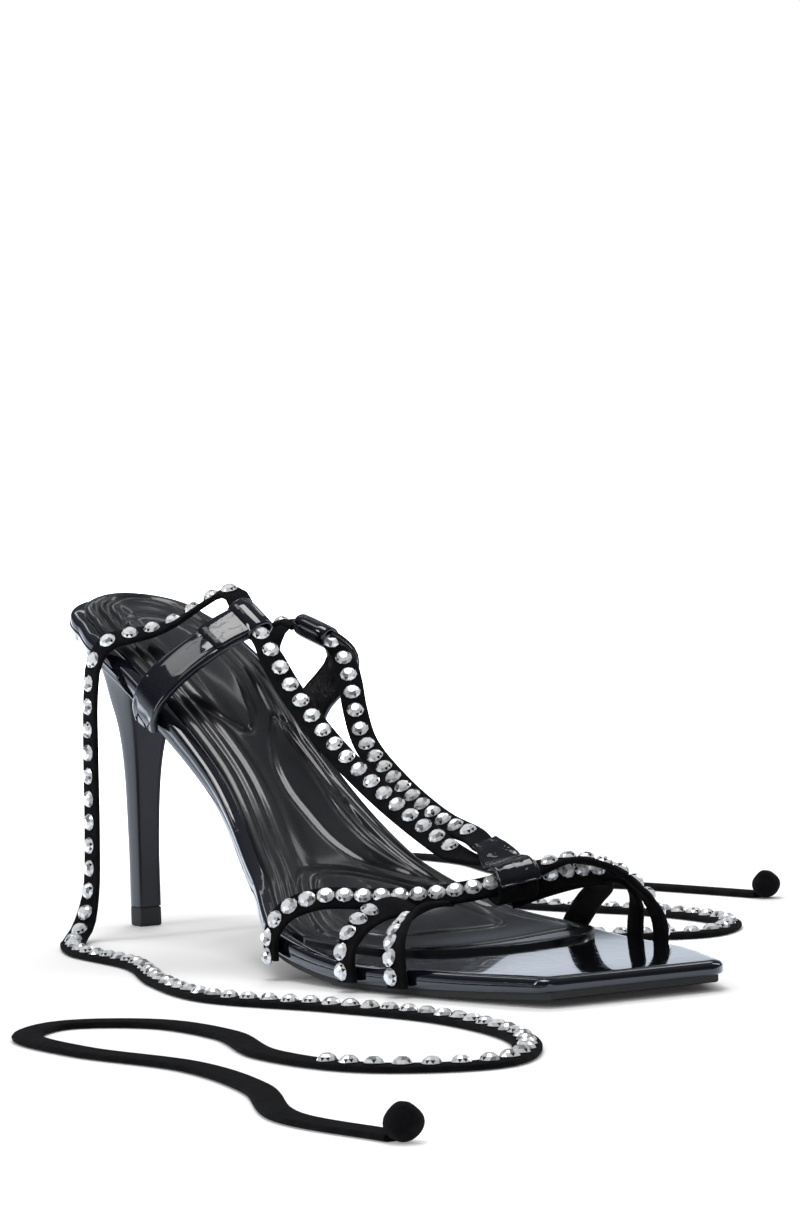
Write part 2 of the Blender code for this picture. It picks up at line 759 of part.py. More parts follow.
def main():
    """Builds the sandal."""
    for old in list(bpy.data.objects):
        bpy.data.objects.remove(old, do_unlink=True)
    parts = bpy.data.collections.new("lace_up_sandal")
    tools = bpy.data.collections.new("tools")
    for made in (parts, tools):
        bpy.context.scene.collection.children.link(made)
    make_outsole(RUBBER, parts)
    make_board(PATENT, parts)
    make_sock(NAPPA, parts)
    make_heel(PATENT, parts)
    make_top_lift(RUBBER, parts)
    make_side_strap("side_strap_outer", OUTER_SIDE, PATENT, parts, tools)
    make_side_strap("side_strap_inner", INNER_SIDE, PATENT, parts, tools)
    make_vamp(SUEDE, parts, tools)
    make_keeper(PATENT, parts)
    ties = (("outer", OUTER_RUN, OUTER_END), ("inner", INNER_RUN, INNER_END))
    for side, run, end in ties:
        make_strap("tie_run_" + side, run, TIE_WIDTH, TIE_THICK, RUN_STEP, SUEDE, parts)
        make_strap("tie_end_" + side, end, TIE_WIDTH, TIE_THICK, END_STEP, SUEDE, parts)
        make_knot("tie_knot_" + side, end, SUEDE, parts)


main()
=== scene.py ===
"""Looks of the lace-up stiletto sandal, a right shoe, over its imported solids.

Tables are in millimetres: x runs from the back of the seat to the toe, y to the inner side of the foot and
z up from the floor. Meshes are in metres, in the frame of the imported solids.
"""

import logging
import math
from collections.abc import Callable, Sequence
from dataclasses import dataclass, field
from enum import Enum
from typing import NamedTuple

import bmesh
import bpy
import numpy as np
from mathutils import Matrix, Vector

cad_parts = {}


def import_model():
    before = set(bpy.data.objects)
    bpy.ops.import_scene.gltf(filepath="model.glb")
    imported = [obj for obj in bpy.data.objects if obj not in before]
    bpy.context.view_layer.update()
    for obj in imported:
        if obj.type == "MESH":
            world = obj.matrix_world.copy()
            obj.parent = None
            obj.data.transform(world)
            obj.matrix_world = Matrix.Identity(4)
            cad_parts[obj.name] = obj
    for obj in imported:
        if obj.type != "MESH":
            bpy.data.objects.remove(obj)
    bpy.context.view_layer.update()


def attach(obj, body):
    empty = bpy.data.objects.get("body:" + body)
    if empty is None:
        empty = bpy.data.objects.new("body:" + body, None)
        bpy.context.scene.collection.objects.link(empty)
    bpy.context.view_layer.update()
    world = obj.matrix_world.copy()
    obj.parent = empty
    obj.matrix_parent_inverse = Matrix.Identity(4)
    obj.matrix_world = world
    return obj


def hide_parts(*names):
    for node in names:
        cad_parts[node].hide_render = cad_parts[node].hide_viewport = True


LOG = logging.getLogger("sandal")

MM = 0.001
ORIGIN = np.array([111.1, 1.1, 0.0])
GAP = 0.3
ROOT_SLACK = 0.15
FLOOR_SLACK = 0.05

Piece = bpy.types.Object
Ring = Sequence[np.ndarray]
Pairs = Sequence[tuple[float, float]]
Triples = Sequence[tuple[float, float, float]]
Rows = Sequence[Sequence]


class Side(Enum):
    """A side of the foot, by its column in the table of edges."""

    OUTER = 1
    INNER = 2

    @property
    def sign(self) -> float:
        """The side's direction along y."""
        return -1.0 if self is Side.OUTER else 1.0

    @property
    def label(self) -> str:
        """The side's part in the names of pieces."""
        return self.name.lower()


class Grain(Enum):
    """The kinds of surface relief that a finish can carry."""

    PEBBLE = "pebble_grain"
    NAP = "brushed_nap"
    PEEL = "lacquer_peel"
    SPECKLE = "moulded_speckle"
    CREASE = "pressed_creases"


class Edge(NamedTuple):
    """The sole's edge at one place along the foot."""

    x: float
    outer: float
    inner: float


class HeelLevel(NamedTuple):
    """The heel's stem at one height."""

    z: float
    back: float
    front: float
    half_width: float


class Stop(NamedTuple):
    """A point on a strap's middle line and the way that its outer face looks."""

    x: float
    y: float
    z: float
    face_x: float
    face_y: float
    face_z: float


class Station(NamedTuple):
    """One place on a strap: its point, its way ahead, its width's way and its outer face's way."""

    place: np.ndarray
    ahead: np.ndarray
    across: np.ndarray
    face: np.ndarray


# Curves and places


def world(place: Sequence[float]) -> tuple[float, float, float]:
    """A place of the tables, in metres in the frame of the solids."""
    return tuple((np.asarray(place, float) - ORIGIN) * MM)


def unit(vector: np.ndarray) -> np.ndarray:
    """The vector at length one."""
    return vector / max(float(np.linalg.norm(vector)), 1e-9)


def placed(x_way: np.ndarray, y_way: np.ndarray, z_way: np.ndarray, place: Sequence[float]) -> Matrix:
    """The matrix of a thing at a place in metres, by the ways of its three axes."""
    return Matrix([*zip(x_way, y_way, z_way, place), (0, 0, 0, 1)])


def share_between(x: np.ndarray | float, start: float, end: float) -> np.ndarray:
    """The share of the way from start to end, kept from 0 to 1."""
    return np.clip((x - start) / (end - start), 0, 1)


def eased(share: np.ndarray | float) -> np.ndarray | float:
    """A share from 0 to 1 that starts and ends gently."""
    return share * share * (3 - 2 * share)


def bent_between(t: float, step: float, ends: np.ndarray, turns: np.ndarray) -> np.ndarray | float:
    """A value on the smooth curve between two stops.

    Args:
        t: The share of the way.
        step: The length of the way.
        ends: The values at the two stops.
        turns: The slopes at the two stops.

    Returns:
        The value there.
    """
    return (
        (1 + 2 * t) * (1 - t) ** 2 * ends[0]
        + t * (1 - t) ** 2 * step * turns[0]
        + t * t * (3 - 2 * t) * ends[1]
        - t * t * (1 - t) * step * turns[1]
    )


def lengths_along(points: np.ndarray) -> np.ndarray:
    """The length walked along a line at each of its points."""
    return np.concatenate([[0], np.cumsum(np.linalg.norm(np.diff(points, axis=0), axis=1))])


def read_off(places: np.ndarray | float, known: np.ndarray, rows: np.ndarray) -> np.ndarray:
    """The rows that lie at some places, between rows at known ones."""
    return np.stack([np.interp(places, known, column) for column in rows.T], axis=-1)


def between_rows(rows: Sequence[tuple], column: int, x: float) -> float:
    """A smooth value between the rows of a table, with no overshoot.

    Args:
        rows: Rows whose first column is the place.
        column: The number of the column to read.
        x: The place.

    Returns:
        The value at that place.
    """
    places = np.array([row[0] for row in rows])
    values = np.array([row[column] for row in rows])
    steps = np.diff(places)
    slopes = np.diff(values) / steps
    turns = np.zeros(len(rows))
    turns[0], turns[-1] = slopes[0], slopes[-1]
    for i in range(1, len(rows) - 1):
        if slopes[i - 1] * slopes[i] > 0:
            turns[i] = 2 * slopes[i - 1] * slopes[i] / (slopes[i - 1] + slopes[i])
    i = int(np.clip(np.searchsorted(places, x) - 1, 0, len(rows) - 2))
    t = (x - places[i]) / steps[i]
    return float(bent_between(t, steps[i], values[i : i + 2], turns[i : i + 2]))


def smooth_route(stops: Sequence[Sequence[float]], spacing: float) -> np.ndarray:
    """Points at even steps on a smooth curve through the stops.

    Args:
        stops: Rows whose first three columns are a place; further columns are carried along.
        spacing: The step along the curve.

    Returns:
        One row for each point, with all the columns.
    """
    knots = np.array(stops, float)
    chords = np.linalg.norm(np.diff(knots[:, :3], axis=0), axis=1)
    along = np.concatenate([[0], np.cumsum(np.sqrt(chords))])
    turns = np.gradient(knots, along, axis=0)
    fine = []
    for i in range(len(knots) - 1):
        step = along[i + 1] - along[i]
        for t in np.linspace(0, 1, 24, endpoint=False):
            fine.append(bent_between(t, step, knots[i : i + 2], turns[i : i + 2]))
    fine = np.array(fine + [knots[-1]])
    walked = lengths_along(fine[:, :3])
    places = np.linspace(0, walked[-1], max(3, round(walked[-1] / spacing) + 1))
    return read_off(places, walked, fine)


def strap_stations(stops: Sequence[Stop], spacing: float) -> list[Station]:
    """The stations at even steps along a strap's stops.

    Args:
        stops: The strap's stops.
        spacing: The step along the strap.

    Returns:
        The stations.
    """
    line = smooth_route(stops, spacing)
    made = []
    for i in range(len(line)):
        ahead = unit(line[min(i + 1, len(line) - 1), :3] - line[max(i - 1, 0), :3])
        face = unit(line[i, 3:6] - ahead * float(line[i, 3:6] @ ahead))
        made.append(Station(line[i, :3], ahead, np.cross(ahead, face), face))
    return made


def walked_lengths(made: Sequence[Station]) -> np.ndarray:
    """The length walked along a strap at each of its stations."""
    return lengths_along(np.array([s.place for s in made]))


def depth_inside(points: np.ndarray, outline: np.ndarray, closed: bool = True) -> np.ndarray:
    """How far points lie inside an outline.

    Args:
        points: Rows of x and y.
        outline: Rows of x and y round the outline.
        closed: Whether the outline is a closed one; along an open line the distance has no sign.

    Returns:
        One distance for each point, negative outside a closed outline.
    """
    starts = outline if closed else outline[:-1]
    ends = np.roll(outline, -1, axis=0) if closed else outline[1:]
    best = np.full(len(points), 1e9)
    inside = np.zeros(len(points), bool)
    for a, b in zip(starts, ends):
        way = b - a
        share = np.clip(((points - a) @ way) / max(float(way @ way), 1e-12), 0, 1)
        best = np.minimum(best, np.linalg.norm(points - a - share[:, None] * way, axis=1))
        if closed:
            crosses = (a[1] > points[:, 1]) != (b[1] > points[:, 1])
            rise = b[1] - a[1] if abs(b[1] - a[1]) > 1e-12 else 1e-12
            inside ^= crosses & (points[:, 0] < a[0] + (points[:, 1] - a[1]) * way[0] / rise)
    return np.where(inside, best, -best) if closed else best


def flat_route(rows: Pairs) -> np.ndarray:
    """A line that runs smoothly through the rows of x and y."""
    return smooth_route([(x, y, 0.0) for x, y in rows], 1.0)[:, :2]


def round_outline(rows: Pairs) -> np.ndarray:
    """A closed outline that runs smoothly through the rows of x and y.

    Args:
        rows: Rows of x and y.

    Returns:
        Rows of x and y.
    """
    line = flat_route([*rows[-2:], *rows, *rows[:2]])
    half = len(line) // 2
    off_start = np.linalg.norm(line - rows[0], axis=1)
    return line[int(np.argmin(off_start[:half])) : half + int(np.argmin(off_start[half:]))]


# Modelling by hand


def clear_selection() -> None:
    """Leaves edit mode and deselects every object."""
    if bpy.context.object is not None and bpy.context.object.mode != "OBJECT":
        bpy.ops.object.mode_set(mode="OBJECT")
    bpy.ops.object.select_all(action="DESELECT")


def pick(piece: Piece) -> None:
    """Makes a piece the only selected one.

    Args:
        piece: The piece.
    """
    clear_selection()
    piece.select_set(True)
    bpy.context.view_layer.objects.active = piece


def open_mesh(kind: str = "FACE", action: str = "SELECT") -> None:
    """Opens the active piece for editing.

    Args:
        kind: What is picked in it, as select_mode names it.
        action: What is picked at first, as select_all names it.
    """
    bpy.ops.object.mode_set(mode="EDIT")
    bpy.ops.mesh.select_mode(type=kind)
    bpy.ops.mesh.select_all(action=action)


def spot(place: Vector) -> tuple[float, float, float]:
    """A corner's place as a key."""
    return (place.x, place.y, place.z)


def finish_mesh(piece: Piece, angle: float = 40.0) -> Piece:
    """Turns a piece's faces outwards and shades it smooth up to an angle in degrees.

    Args:
        piece: The piece.
        angle: The angle in degrees past which an edge stays sharp.

    Returns:
        The piece.
    """
    pick(piece)
    open_mesh()
    bpy.ops.mesh.normals_make_consistent(inside=False)
    bpy.ops.object.mode_set(mode="OBJECT")
    bpy.ops.object.shade_smooth_by_angle(angle=math.radians(angle))
    return piece


def extrude_rings(name: str, rings: Sequence[Ring], angle: float = 40.0) -> Piece:
    """A closed body drawn out from ring to ring.

    Args:
        name: The piece's name.
        rings: Rings of equal count, in the tables' millimetres.
        angle: The angle past which an edge stays sharp.

    Returns:
        The piece.
    """
    clear_selection()
    bpy.ops.mesh.primitive_circle_add(vertices=len(rings[0]), radius=MM, fill_type="NGON")
    made = bpy.context.object
    made.name = made.data.name = name
    open_mesh()
    cap = [loop.vert for loop in bmesh.from_edit_mesh(made.data).faces[:][0].loops]
    for vert, place in zip(cap, rings[0]):
        vert.co = world(place)
    order = {spot(vert.co): i for i, vert in enumerate(cap)}
    for ring in rings[1:]:
        bpy.ops.mesh.extrude_region_move()
        face = next(f for f in reversed(bmesh.from_edit_mesh(made.data).faces[:]) if f.select)
        places = {order[spot(loop.vert.co)]: loop.vert for loop in face.loops}
        for i, vert in places.items():
            vert.co = world(ring[i])
        order = {spot(vert.co): i for i, vert in places.items()}
    bmesh.update_edit_mesh(made.data)
    return finish_mesh(made, angle)


def raise_slab(
    name: str,
    cells: tuple[int, int],
    plan: Callable[[np.ndarray, np.ndarray], np.ndarray],
    low: Callable[[np.ndarray], np.ndarray],
    high: Callable[[np.ndarray], np.ndarray],
) -> Piece:
    """A layer of the sole, from a grid that is laid on its outline and drawn up to its top.

    Args:
        name: The piece's name.
        cells: How many cells the grid has along and across.
        plan: Gives rows of x and y from the shares along and across.
        low: The height of the underside from rows of x and y.
        high: The height of the top from rows of x and y.

    Returns:
        The piece.
    """
    clear_selection()
    bpy.ops.mesh.primitive_grid_add(x_subdivisions=cells[0], y_subdivisions=cells[1], size=2.0)
    made = bpy.context.object
    made.name = made.data.name = name
    shares = np.array([v.co[:2] for v in made.data.vertices]) / 2 + 0.5
    flat = plan(shares[:, 0], shares[:, 1])
    under = (np.column_stack([flat, low(flat)]) - ORIGIN) * MM
    over = (np.column_stack([flat, high(flat)]) - ORIGIN) * MM
    made.data.vertices.foreach_set("co", under.astype(np.float32).ravel())
    made.data.update()
    lifted = {spot(v.co): over[i] for i, v in enumerate(made.data.vertices)}
    open_mesh()
    bpy.ops.mesh.extrude_region_move()
    for vert in bmesh.from_edit_mesh(made.data).verts:
        if vert.select:
            vert.co = lifted[spot(vert.co)]
    bmesh.update_edit_mesh(made.data)
    return finish_mesh(made, 50.0)


def round_lower_rim(piece: Piece, radius: float) -> None:
    """Rounds the lower rim of a layer, by a radius in millimetres.

    Args:
        piece: The piece.
        radius: The rounding, in millimetres.
    """
    pick(piece)
    open_mesh("EDGE", "DESELECT")
    work = bmesh.from_edit_mesh(piece.data)
    for seam in work.edges:
        if len(seam.link_faces) != 2 or seam.calc_face_angle(0.0) < math.radians(50):
            continue
        level = [face for face in seam.link_faces if abs(face.normal.z) > 0.45]
        if len(level) == 1 and level[0].normal.z <= 0:
            seam.select_set(True)
    bmesh.update_edit_mesh(piece.data)
    bpy.ops.mesh.bevel(offset=radius * MM, segments=2, profile=0.5, affect="EDGES")
    bpy.ops.object.mode_set(mode="OBJECT")
    finish_mesh(piece, 50.0)


def join_pieces(name: str, parts: Sequence[Piece]) -> Piece:
    """Several bodies as one piece of that name, with its place in its mesh.

    Args:
        name: The piece's name.
        parts: The bodies.

    Returns:
        The piece.
    """
    pick(parts[0])
    for part in parts:
        part.select_set(True)
    if len(parts) > 1:
        bpy.ops.object.join()
    made = bpy.context.object
    bpy.ops.object.transform_apply(location=True, rotation=True, scale=True)
    made.name = made.data.name = name
    return made


def strap_section(width: float, thick: float, crown: float = 0.12) -> Pairs:
    """The cross section of a flat strap with turned edges.

    Args:
        width: The strap's width.
        thick: Its thickness.
        crown: How far each face swells at the middle, as a share of the thickness.

    Returns:
        Pairs across and out, once round.
    """
    half, deep = width / 2, thick / 2 * (1 - crown)
    soft = min(deep, half * 0.3)
    turns = [math.radians(a) for a in (-90, -55, -20, 20, 55, 90)]
    right = [(half - soft + soft * math.cos(a), deep * math.sin(a)) for a in turns]
    swell = [(half * s, thick / 2 * (1 - crown * s * s * 2.2)) for s in (0.55, 0.2, -0.2, -0.55)]
    left = [(-a, -b) for a, b in right]
    return right + swell + left + [(-a, -b) for a, b in swell]


def bead_section(radius: float) -> Pairs:
    """The cross section of a fine round bead, as pairs across and out."""
    turns = [math.radians(a) for a in range(0, 360, 45)]
    return [(radius * math.cos(a), radius * math.sin(a)) for a in turns]


def rolled_section(width: float, thick: float) -> Pairs:
    """The cross section of a folded strap whose two edges are rolled to beads, as pairs across and out.

    Args:
        width: The strap's width.
        thick: The strap's thickness.

    Returns:
        Pairs across and out, once round.
    """
    bead = thick / 2
    half = width / 2 - bead
    turns = [math.radians(a) for a in (-105, -70, -35, 0, 35, 70, 105)]
    right = [(half + bead * math.cos(a), bead * math.sin(a)) for a in turns]
    face = [(half * s, bead * (0.74 + 0.22 * (1 - s * s))) for s in (0.82, 0.5, 0.17, -0.17, -0.5, -0.82)]
    return right + face + [(-a, -b) for a, b in right] + [(-a, -b) for a, b in face]


def laid_stops(rows: Sequence[Sequence[float]]) -> tuple[Stop, ...]:
    """Stops from rows of a place and the way of the strap's width there.

    Args:
        rows: Rows of a place and the way of the width.

    Returns:
        The stops.
    """
    places = np.array([row[:3] for row in rows], float)
    ways = np.gradient(places, axis=0)
    return tuple(Stop(*row[:3], *np.cross(row[3:6], unit(way))) for row, way in zip(rows, ways))


def strap_body(
    name: str,
    made: Sequence[Station],
    section: Pairs | Callable[[float], Pairs],
    angle: float = 50.0,
) -> Piece:
    """A strap along its stations.

    Args:
        name: The piece's name.
        made: The stations.
        section: The cross section, or what gives it at each share of the length.
        angle: The angle past which an edge stays sharp.

    Returns:
        The piece.
    """
    walked = walked_lengths(made)
    rings = []
    for s, share in zip(made, walked / walked[-1]):
        outline = section(float(share)) if callable(section) else section
        rings.append([s.place + s.across * a + s.face * b for a, b in outline])
    return extrude_rings(name, rings, angle)


# Finishes


def set_inputs(node: bpy.types.Node, values: dict[str, object]) -> None:
    """Sets the values of a node's inputs by their names."""
    for label, value in values.items():
        node.inputs[label].default_value = value


def new_material(name: str) -> tuple[bpy.types.Material, bpy.types.NodeTree, bpy.types.Node]:
    """A new material with its tree and its shader.

    Args:
        name: The material's name.

    Returns:
        The material, its tree and its shader.
    """
    made = bpy.data.materials.new(name)
    made.use_nodes = True
    return made, made.node_tree, made.node_tree.nodes["Principled BSDF"]


class Shades:
    """Shader node groups that the finishes share, each built once."""

    @staticmethod
    def group(
        name: str, inputs: Sequence[tuple[str, str, object]], outputs: Sequence[tuple[str, str]]
    ) -> tuple[bpy.types.NodeTree, bpy.types.Node, bpy.types.Node]:
        """A new node group with its sockets and its two end nodes.

        Args:
            name: The group's name.
            inputs: The name, socket type and value of each input.
            outputs: The name and socket type of each output.

        Returns:
            The tree, its input node and its output node.
        """
        tree = bpy.data.node_groups.new(name, "ShaderNodeTree")
        for label, kind, value in inputs:
            tree.interface.new_socket(label, in_out="INPUT", socket_type=kind).default_value = value
        for label, kind in outputs:
            tree.interface.new_socket(label, in_out="OUTPUT", socket_type=kind)
        return tree, tree.nodes.new("NodeGroupInput"), tree.nodes.new("NodeGroupOutput")

    @staticmethod
    def arithmetic(tree: bpy.types.NodeTree, operation: str, a: object, b: object) -> bpy.types.NodeSocket:
        """A sum in a tree.

        Args:
            tree: The tree.
            operation: The name of the operation.
            a: A socket or a number.
            b: A socket or a number.

        Returns:
            The socket of the result.
        """
        node = tree.nodes.new("ShaderNodeMath")
        node.operation = operation
        for slot, value in zip(node.inputs, (a, b)):
            if isinstance(value, bpy.types.NodeSocket):
                tree.links.new(value, slot)
            else:
                slot.default_value = value
        return node.outputs[0]

    @classmethod
    def noise(
        cls,
        tree: bpy.types.NodeTree,
        size: object,
        detail: float,
        warp: float = 0.0,
        drawn: tuple[float, float, float] = (1.0, 1.0, 1.0),
    ) -> bpy.types.NodeSocket:
        """Noise over the piece's own coordinates.

        Args:
            tree: The tree.
            size: The size of a spot in millimetres, as a socket or a number.
            detail: How many finer layers it has.
            warp: How far it is distorted.
            drawn: How much finer it is along each axis.

        Returns:
            The socket of its strength.
        """
        place = tree.nodes.new("ShaderNodeTexCoord")
        node = tree.nodes.new("ShaderNodeTexNoise")
        scaled = tree.nodes.new("ShaderNodeVectorMath")
        scaled.operation = "MULTIPLY"
        scaled.inputs[1].default_value = drawn
        tree.links.new(place.outputs["Object"], scaled.inputs[0])
        tree.links.new(scaled.outputs["Vector"], node.inputs["Vector"])
        tree.links.new(cls.arithmetic(tree, "DIVIDE", 1000.0, size), node.inputs["Scale"])
        set_inputs(node, {"Detail": detail, "Distortion": warp})
        return node.outputs["Fac"]

    @classmethod
    def cells(cls, tree: bpy.types.NodeTree, size: object) -> bpy.types.NodeSocket:
        """Rounded cells over the piece's own coordinates, by their size in millimetres.

        Args:
            tree: The tree.
            size: The size of a cell in millimetres, as a socket or a number.

        Returns:
            The socket of the result.
        """
        place = tree.nodes.new("ShaderNodeTexCoord")
        node = tree.nodes.new("ShaderNodeTexVoronoi")
        node.feature = "SMOOTH_F1"
        node.inputs["Smoothness"].default_value = 0.6
        tree.links.new(place.outputs["Object"], node.inputs["Vector"])
        tree.links.new(cls.arithmetic(tree, "DIVIDE", 1000.0, size), node.inputs["Scale"])
        return node.outputs["Distance"]

    @classmethod
    def tone(cls) -> bpy.types.NodeTree:
        """Two colours mixed in soft patches, and the patches as a mask.

        Returns:
            The group.
        """
        if "uneven_tone" in bpy.data.node_groups:
            return bpy.data.node_groups["uneven_tone"]
        colour = "NodeSocketColor"
        tree, start, end = cls.group(
            "uneven_tone",
            (
                ("Dark", colour, (0, 0, 0, 1)),
                ("Light", colour, (1, 1, 1, 1)),
                ("Size", "NodeSocketFloat", 8.0),
            ),
            (("Colour", colour), ("Patches", "NodeSocketFloat")),
        )
        patches = cls.noise(tree, start.outputs["Size"], 3.0, 0.4)
        spread = tree.nodes.new("ShaderNodeMapRange")
        set_inputs(spread, {"From Min": 0.32, "From Max": 0.68})
        tree.links.new(patches, spread.inputs["Value"])
        mix = tree.nodes.new("ShaderNodeMix")
        mix.data_type = "RGBA"
        tree.links.new(spread.outputs["Result"], mix.inputs["Factor"])
        tree.links.new(start.outputs["Dark"], mix.inputs["A"])
        tree.links.new(start.outputs["Light"], mix.inputs["B"])
        tree.links.new(mix.outputs["Result"], end.inputs["Colour"])
        tree.links.new(spread.outputs["Result"], end.inputs["Patches"])
        return tree

    @classmethod
    def gloss(cls) -> bpy.types.NodeTree:
        """A roughness between two values, higher where the surface is rubbed or dusty.

        Returns:
            The group.
        """
        if "uneven_gloss" in bpy.data.node_groups:
            return bpy.data.node_groups["uneven_gloss"]
        number = "NodeSocketFloat"
        tree, start, end = cls.group(
            "uneven_gloss",
            (("Low", number, 0.1), ("High", number, 0.2), ("Size", number, 6.0)),
            (("Roughness", number),),
        )
        rubbed = cls.noise(tree, start.outputs["Size"], 5.0, 0.8)
        spread = tree.nodes.new("ShaderNodeMapRange")
        set_inputs(spread, {"From Min": 0.38, "From Max": 0.7})
        tree.links.new(rubbed, spread.inputs["Value"])
        tree.links.new(start.outputs["Low"], spread.inputs["To Min"])
        tree.links.new(start.outputs["High"], spread.inputs["To Max"])
        tree.links.new(spread.outputs["Result"], end.inputs["Roughness"])
        return tree

    @classmethod
    def relief(cls, grain: Grain) -> bpy.types.NodeTree:
        """The height of a surface's relief, from 0 to about 1.

        Args:
            grain: The kind of relief.

        Returns:
            The group.
        """
        if grain.value in bpy.data.node_groups:
            return bpy.data.node_groups[grain.value]
        number = "NodeSocketFloat"
        tree, start, end = cls.group(grain.value, (("Size", number, 1.0),), (("Height", number),))
        size = start.outputs["Size"]
        if grain is Grain.PEBBLE:
            fine = cls.noise(tree, cls.arithmetic(tree, "MULTIPLY", size, 0.5), 2.0)
            height = cls.laid_over(tree, cls.cells(tree, size), fine, 0.35)
        elif grain is Grain.NAP:
            broad = cls.noise(tree, cls.arithmetic(tree, "MULTIPLY", size, 5.0), 2.0, 1.2)
            height = cls.laid_over(tree, cls.noise(tree, size, 6.0, 0.6), broad, 0.6)
        elif grain is Grain.PEEL:
            height = cls.noise(tree, size, 1.0, 0.3)
        elif grain is Grain.CREASE:
            drawn = cls.noise(tree, size, 2.0, 0.5, (1.0, 1.0, 0.22))
            height = cls.laid_over(tree, drawn, cls.noise(tree, size, 2.0, 1.5), 0.4)
        else:
            height = cls.noise(tree, size, 4.0, 0.2)
        tree.links.new(height, end.inputs["Height"])
        return tree

    @classmethod
    def laid_over(
        cls, tree: bpy.types.NodeTree, main: bpy.types.NodeSocket, other: bpy.types.NodeSocket, share: float
    ) -> bpy.types.NodeSocket:
        """A relief with a share of another one laid over it."""
        return cls.arithmetic(tree, "ADD", main, cls.arithmetic(tree, "MULTIPLY", other, share))


@dataclass(frozen=True)
class Hide:
    """A leather, suede or rubber finish."""

    name: str
    dark: tuple[float, float, float]
    light: tuple[float, float, float]
    gloss: tuple[float, float]
    grain: Grain
    grain_size: float
    grain_depth: float
    grain_strength: float = 1.0
    patch_size: float = 8.0
    gloss_size: float = 6.0
    coat: float = 0.0
    coat_roughness: float = 0.03
    sheen: float = 0.0
    sheen_roughness: float = 0.5
    specular: float = 0.5

    def material(self) -> bpy.types.Material:
        """The material, built at its first use.

        Returns:
            The material.
        """
        if self.name in bpy.data.materials:
            return bpy.data.materials[self.name]
        made, tree, shader = new_material(self.name)
        tone = self.place(tree, Shades.tone())
        set_inputs(tone, {"Dark": (*self.dark, 1.0), "Light": (*self.light, 1.0), "Size": self.patch_size})
        tree.links.new(tone.outputs["Colour"], shader.inputs["Base Color"])
        gloss = self.place(tree, Shades.gloss())
        set_inputs(gloss, {"Low": self.gloss[0], "High": self.gloss[1], "Size": self.gloss_size})
        tree.links.new(gloss.outputs["Roughness"], shader.inputs["Roughness"])
        relief = self.place(tree, Shades.relief(self.grain))
        set_inputs(relief, {"Size": self.grain_size})
        bump = tree.nodes.new("ShaderNodeBump")
        set_inputs(bump, {"Strength": self.grain_strength, "Distance": self.grain_depth * MM})
        tree.links.new(relief.outputs["Height"], bump.inputs["Height"])
        tree.links.new(bump.outputs["Normal"], shader.inputs["Normal"])
        set_inputs(shader, {"Coat Weight": self.coat, "Coat Roughness": self.coat_roughness})
        set_inputs(shader, {"Sheen Weight": self.sheen, "Sheen Roughness": self.sheen_roughness})
        set_inputs(shader, {"Specular IOR Level": self.specular})
        return made

    @staticmethod
    def place(tree: bpy.types.NodeTree, group: bpy.types.NodeTree) -> bpy.types.Node:
        """A shared group placed in a material's tree.

        Args:
            tree: The tree.
            group: The group.

        Returns:
            The node.
        """
        node = tree.nodes.new("ShaderNodeGroup")
        node.node_tree = group
        return node


@dataclass(frozen=True)
class Crystal:
    """Cut, silver-backed stones whose facet tones, from an attribute of the mesh, are painted reflections."""

    name: str = "cut_crystal"
    attribute: str = "facet"
    gloss: tuple[float, float] = (0.042, 0.112)
    gloss_size: float = 1.2
    silver: float = 0.3
    coat_roughness: float = 0.02

    def material(self) -> bpy.types.Material:
        """The material, built at its first use.

        Returns:
            The material.
        """
        if self.name in bpy.data.materials:
            return bpy.data.materials[self.name]
        made, tree, shader = new_material(self.name)
        tone = tree.nodes.new("ShaderNodeAttribute")
        tone.attribute_name = self.attribute
        tree.links.new(tone.outputs["Color"], shader.inputs["Base Color"])
        gloss = Hide.place(tree, Shades.gloss())
        set_inputs(gloss, {"Low": self.gloss[0], "High": self.gloss[1], "Size": self.gloss_size})
        tree.links.new(gloss.outputs["Roughness"], shader.inputs["Roughness"])
        set_inputs(shader, {"Metallic": self.silver})
        set_inputs(shader, {"Coat Weight": 1.0, "Coat Roughness": self.coat_roughness})
        return made


# Black patent; the blue cast of these near-black colours is a painted reflection tint
PATENT = Hide(
    "black_patent", (0.0035, 0.004, 0.007), (0.005, 0.0057, 0.0095), (0.05, 0.1), Grain.PEEL, 3.4, 0.15, 0.5,
    coat=1.0, coat_roughness=0.02, gloss_size=2.5, specular=0.4,
)
# Black heel patent; the blue cast of these near-black colours is a painted reflection tint
HEEL_PATENT = Hide(
    "heel_patent", (0.002, 0.0024, 0.0045), (0.0035, 0.004, 0.0065), (0.2, 0.26), Grain.PEEL, 2.2, 0.04, 0.35,
    coat=0.5, coat_roughness=0.12, gloss_size=1.5, specular=0.4,
)
NAPPA = Hide(
    "sock_nappa", (0.0045, 0.005, 0.006), (0.007, 0.0077, 0.009), (0.3, 0.36), Grain.PEBBLE, 0.6, 0.07, 0.4,
    coat=0.8, coat_roughness=0.1, patch_size=14.0, gloss_size=0.9, specular=0.3,
)
SUEDE = Hide(
    "black_suede", (0.0035, 0.0036, 0.0044), (0.0075, 0.0077, 0.009), (0.9, 1.0), Grain.NAP, 0.2, 0.25, 0.9,
    patch_size=2.5, sheen=0.025, sheen_roughness=0.45, specular=0.05,
)
# Black creased patent; the blue cast of these near-black colours is a painted reflection tint
CREASED_PATENT = Hide(
    "creased_patent", (0.0035, 0.004, 0.006), (0.005, 0.0057, 0.008), (0.05, 0.1), Grain.PEEL, 2.2, 0.5, 0.55,
    coat=1.0, coat_roughness=0.02, gloss_size=2.0, specular=0.25,
)
CREASED_LINING = Hide(
    "creased_lining", (0.0045, 0.0045, 0.005), (0.009, 0.009, 0.0105), (0.3, 0.42),
    Grain.CREASE, 1.5, 0.5, 0.8, patch_size=5.0,
)
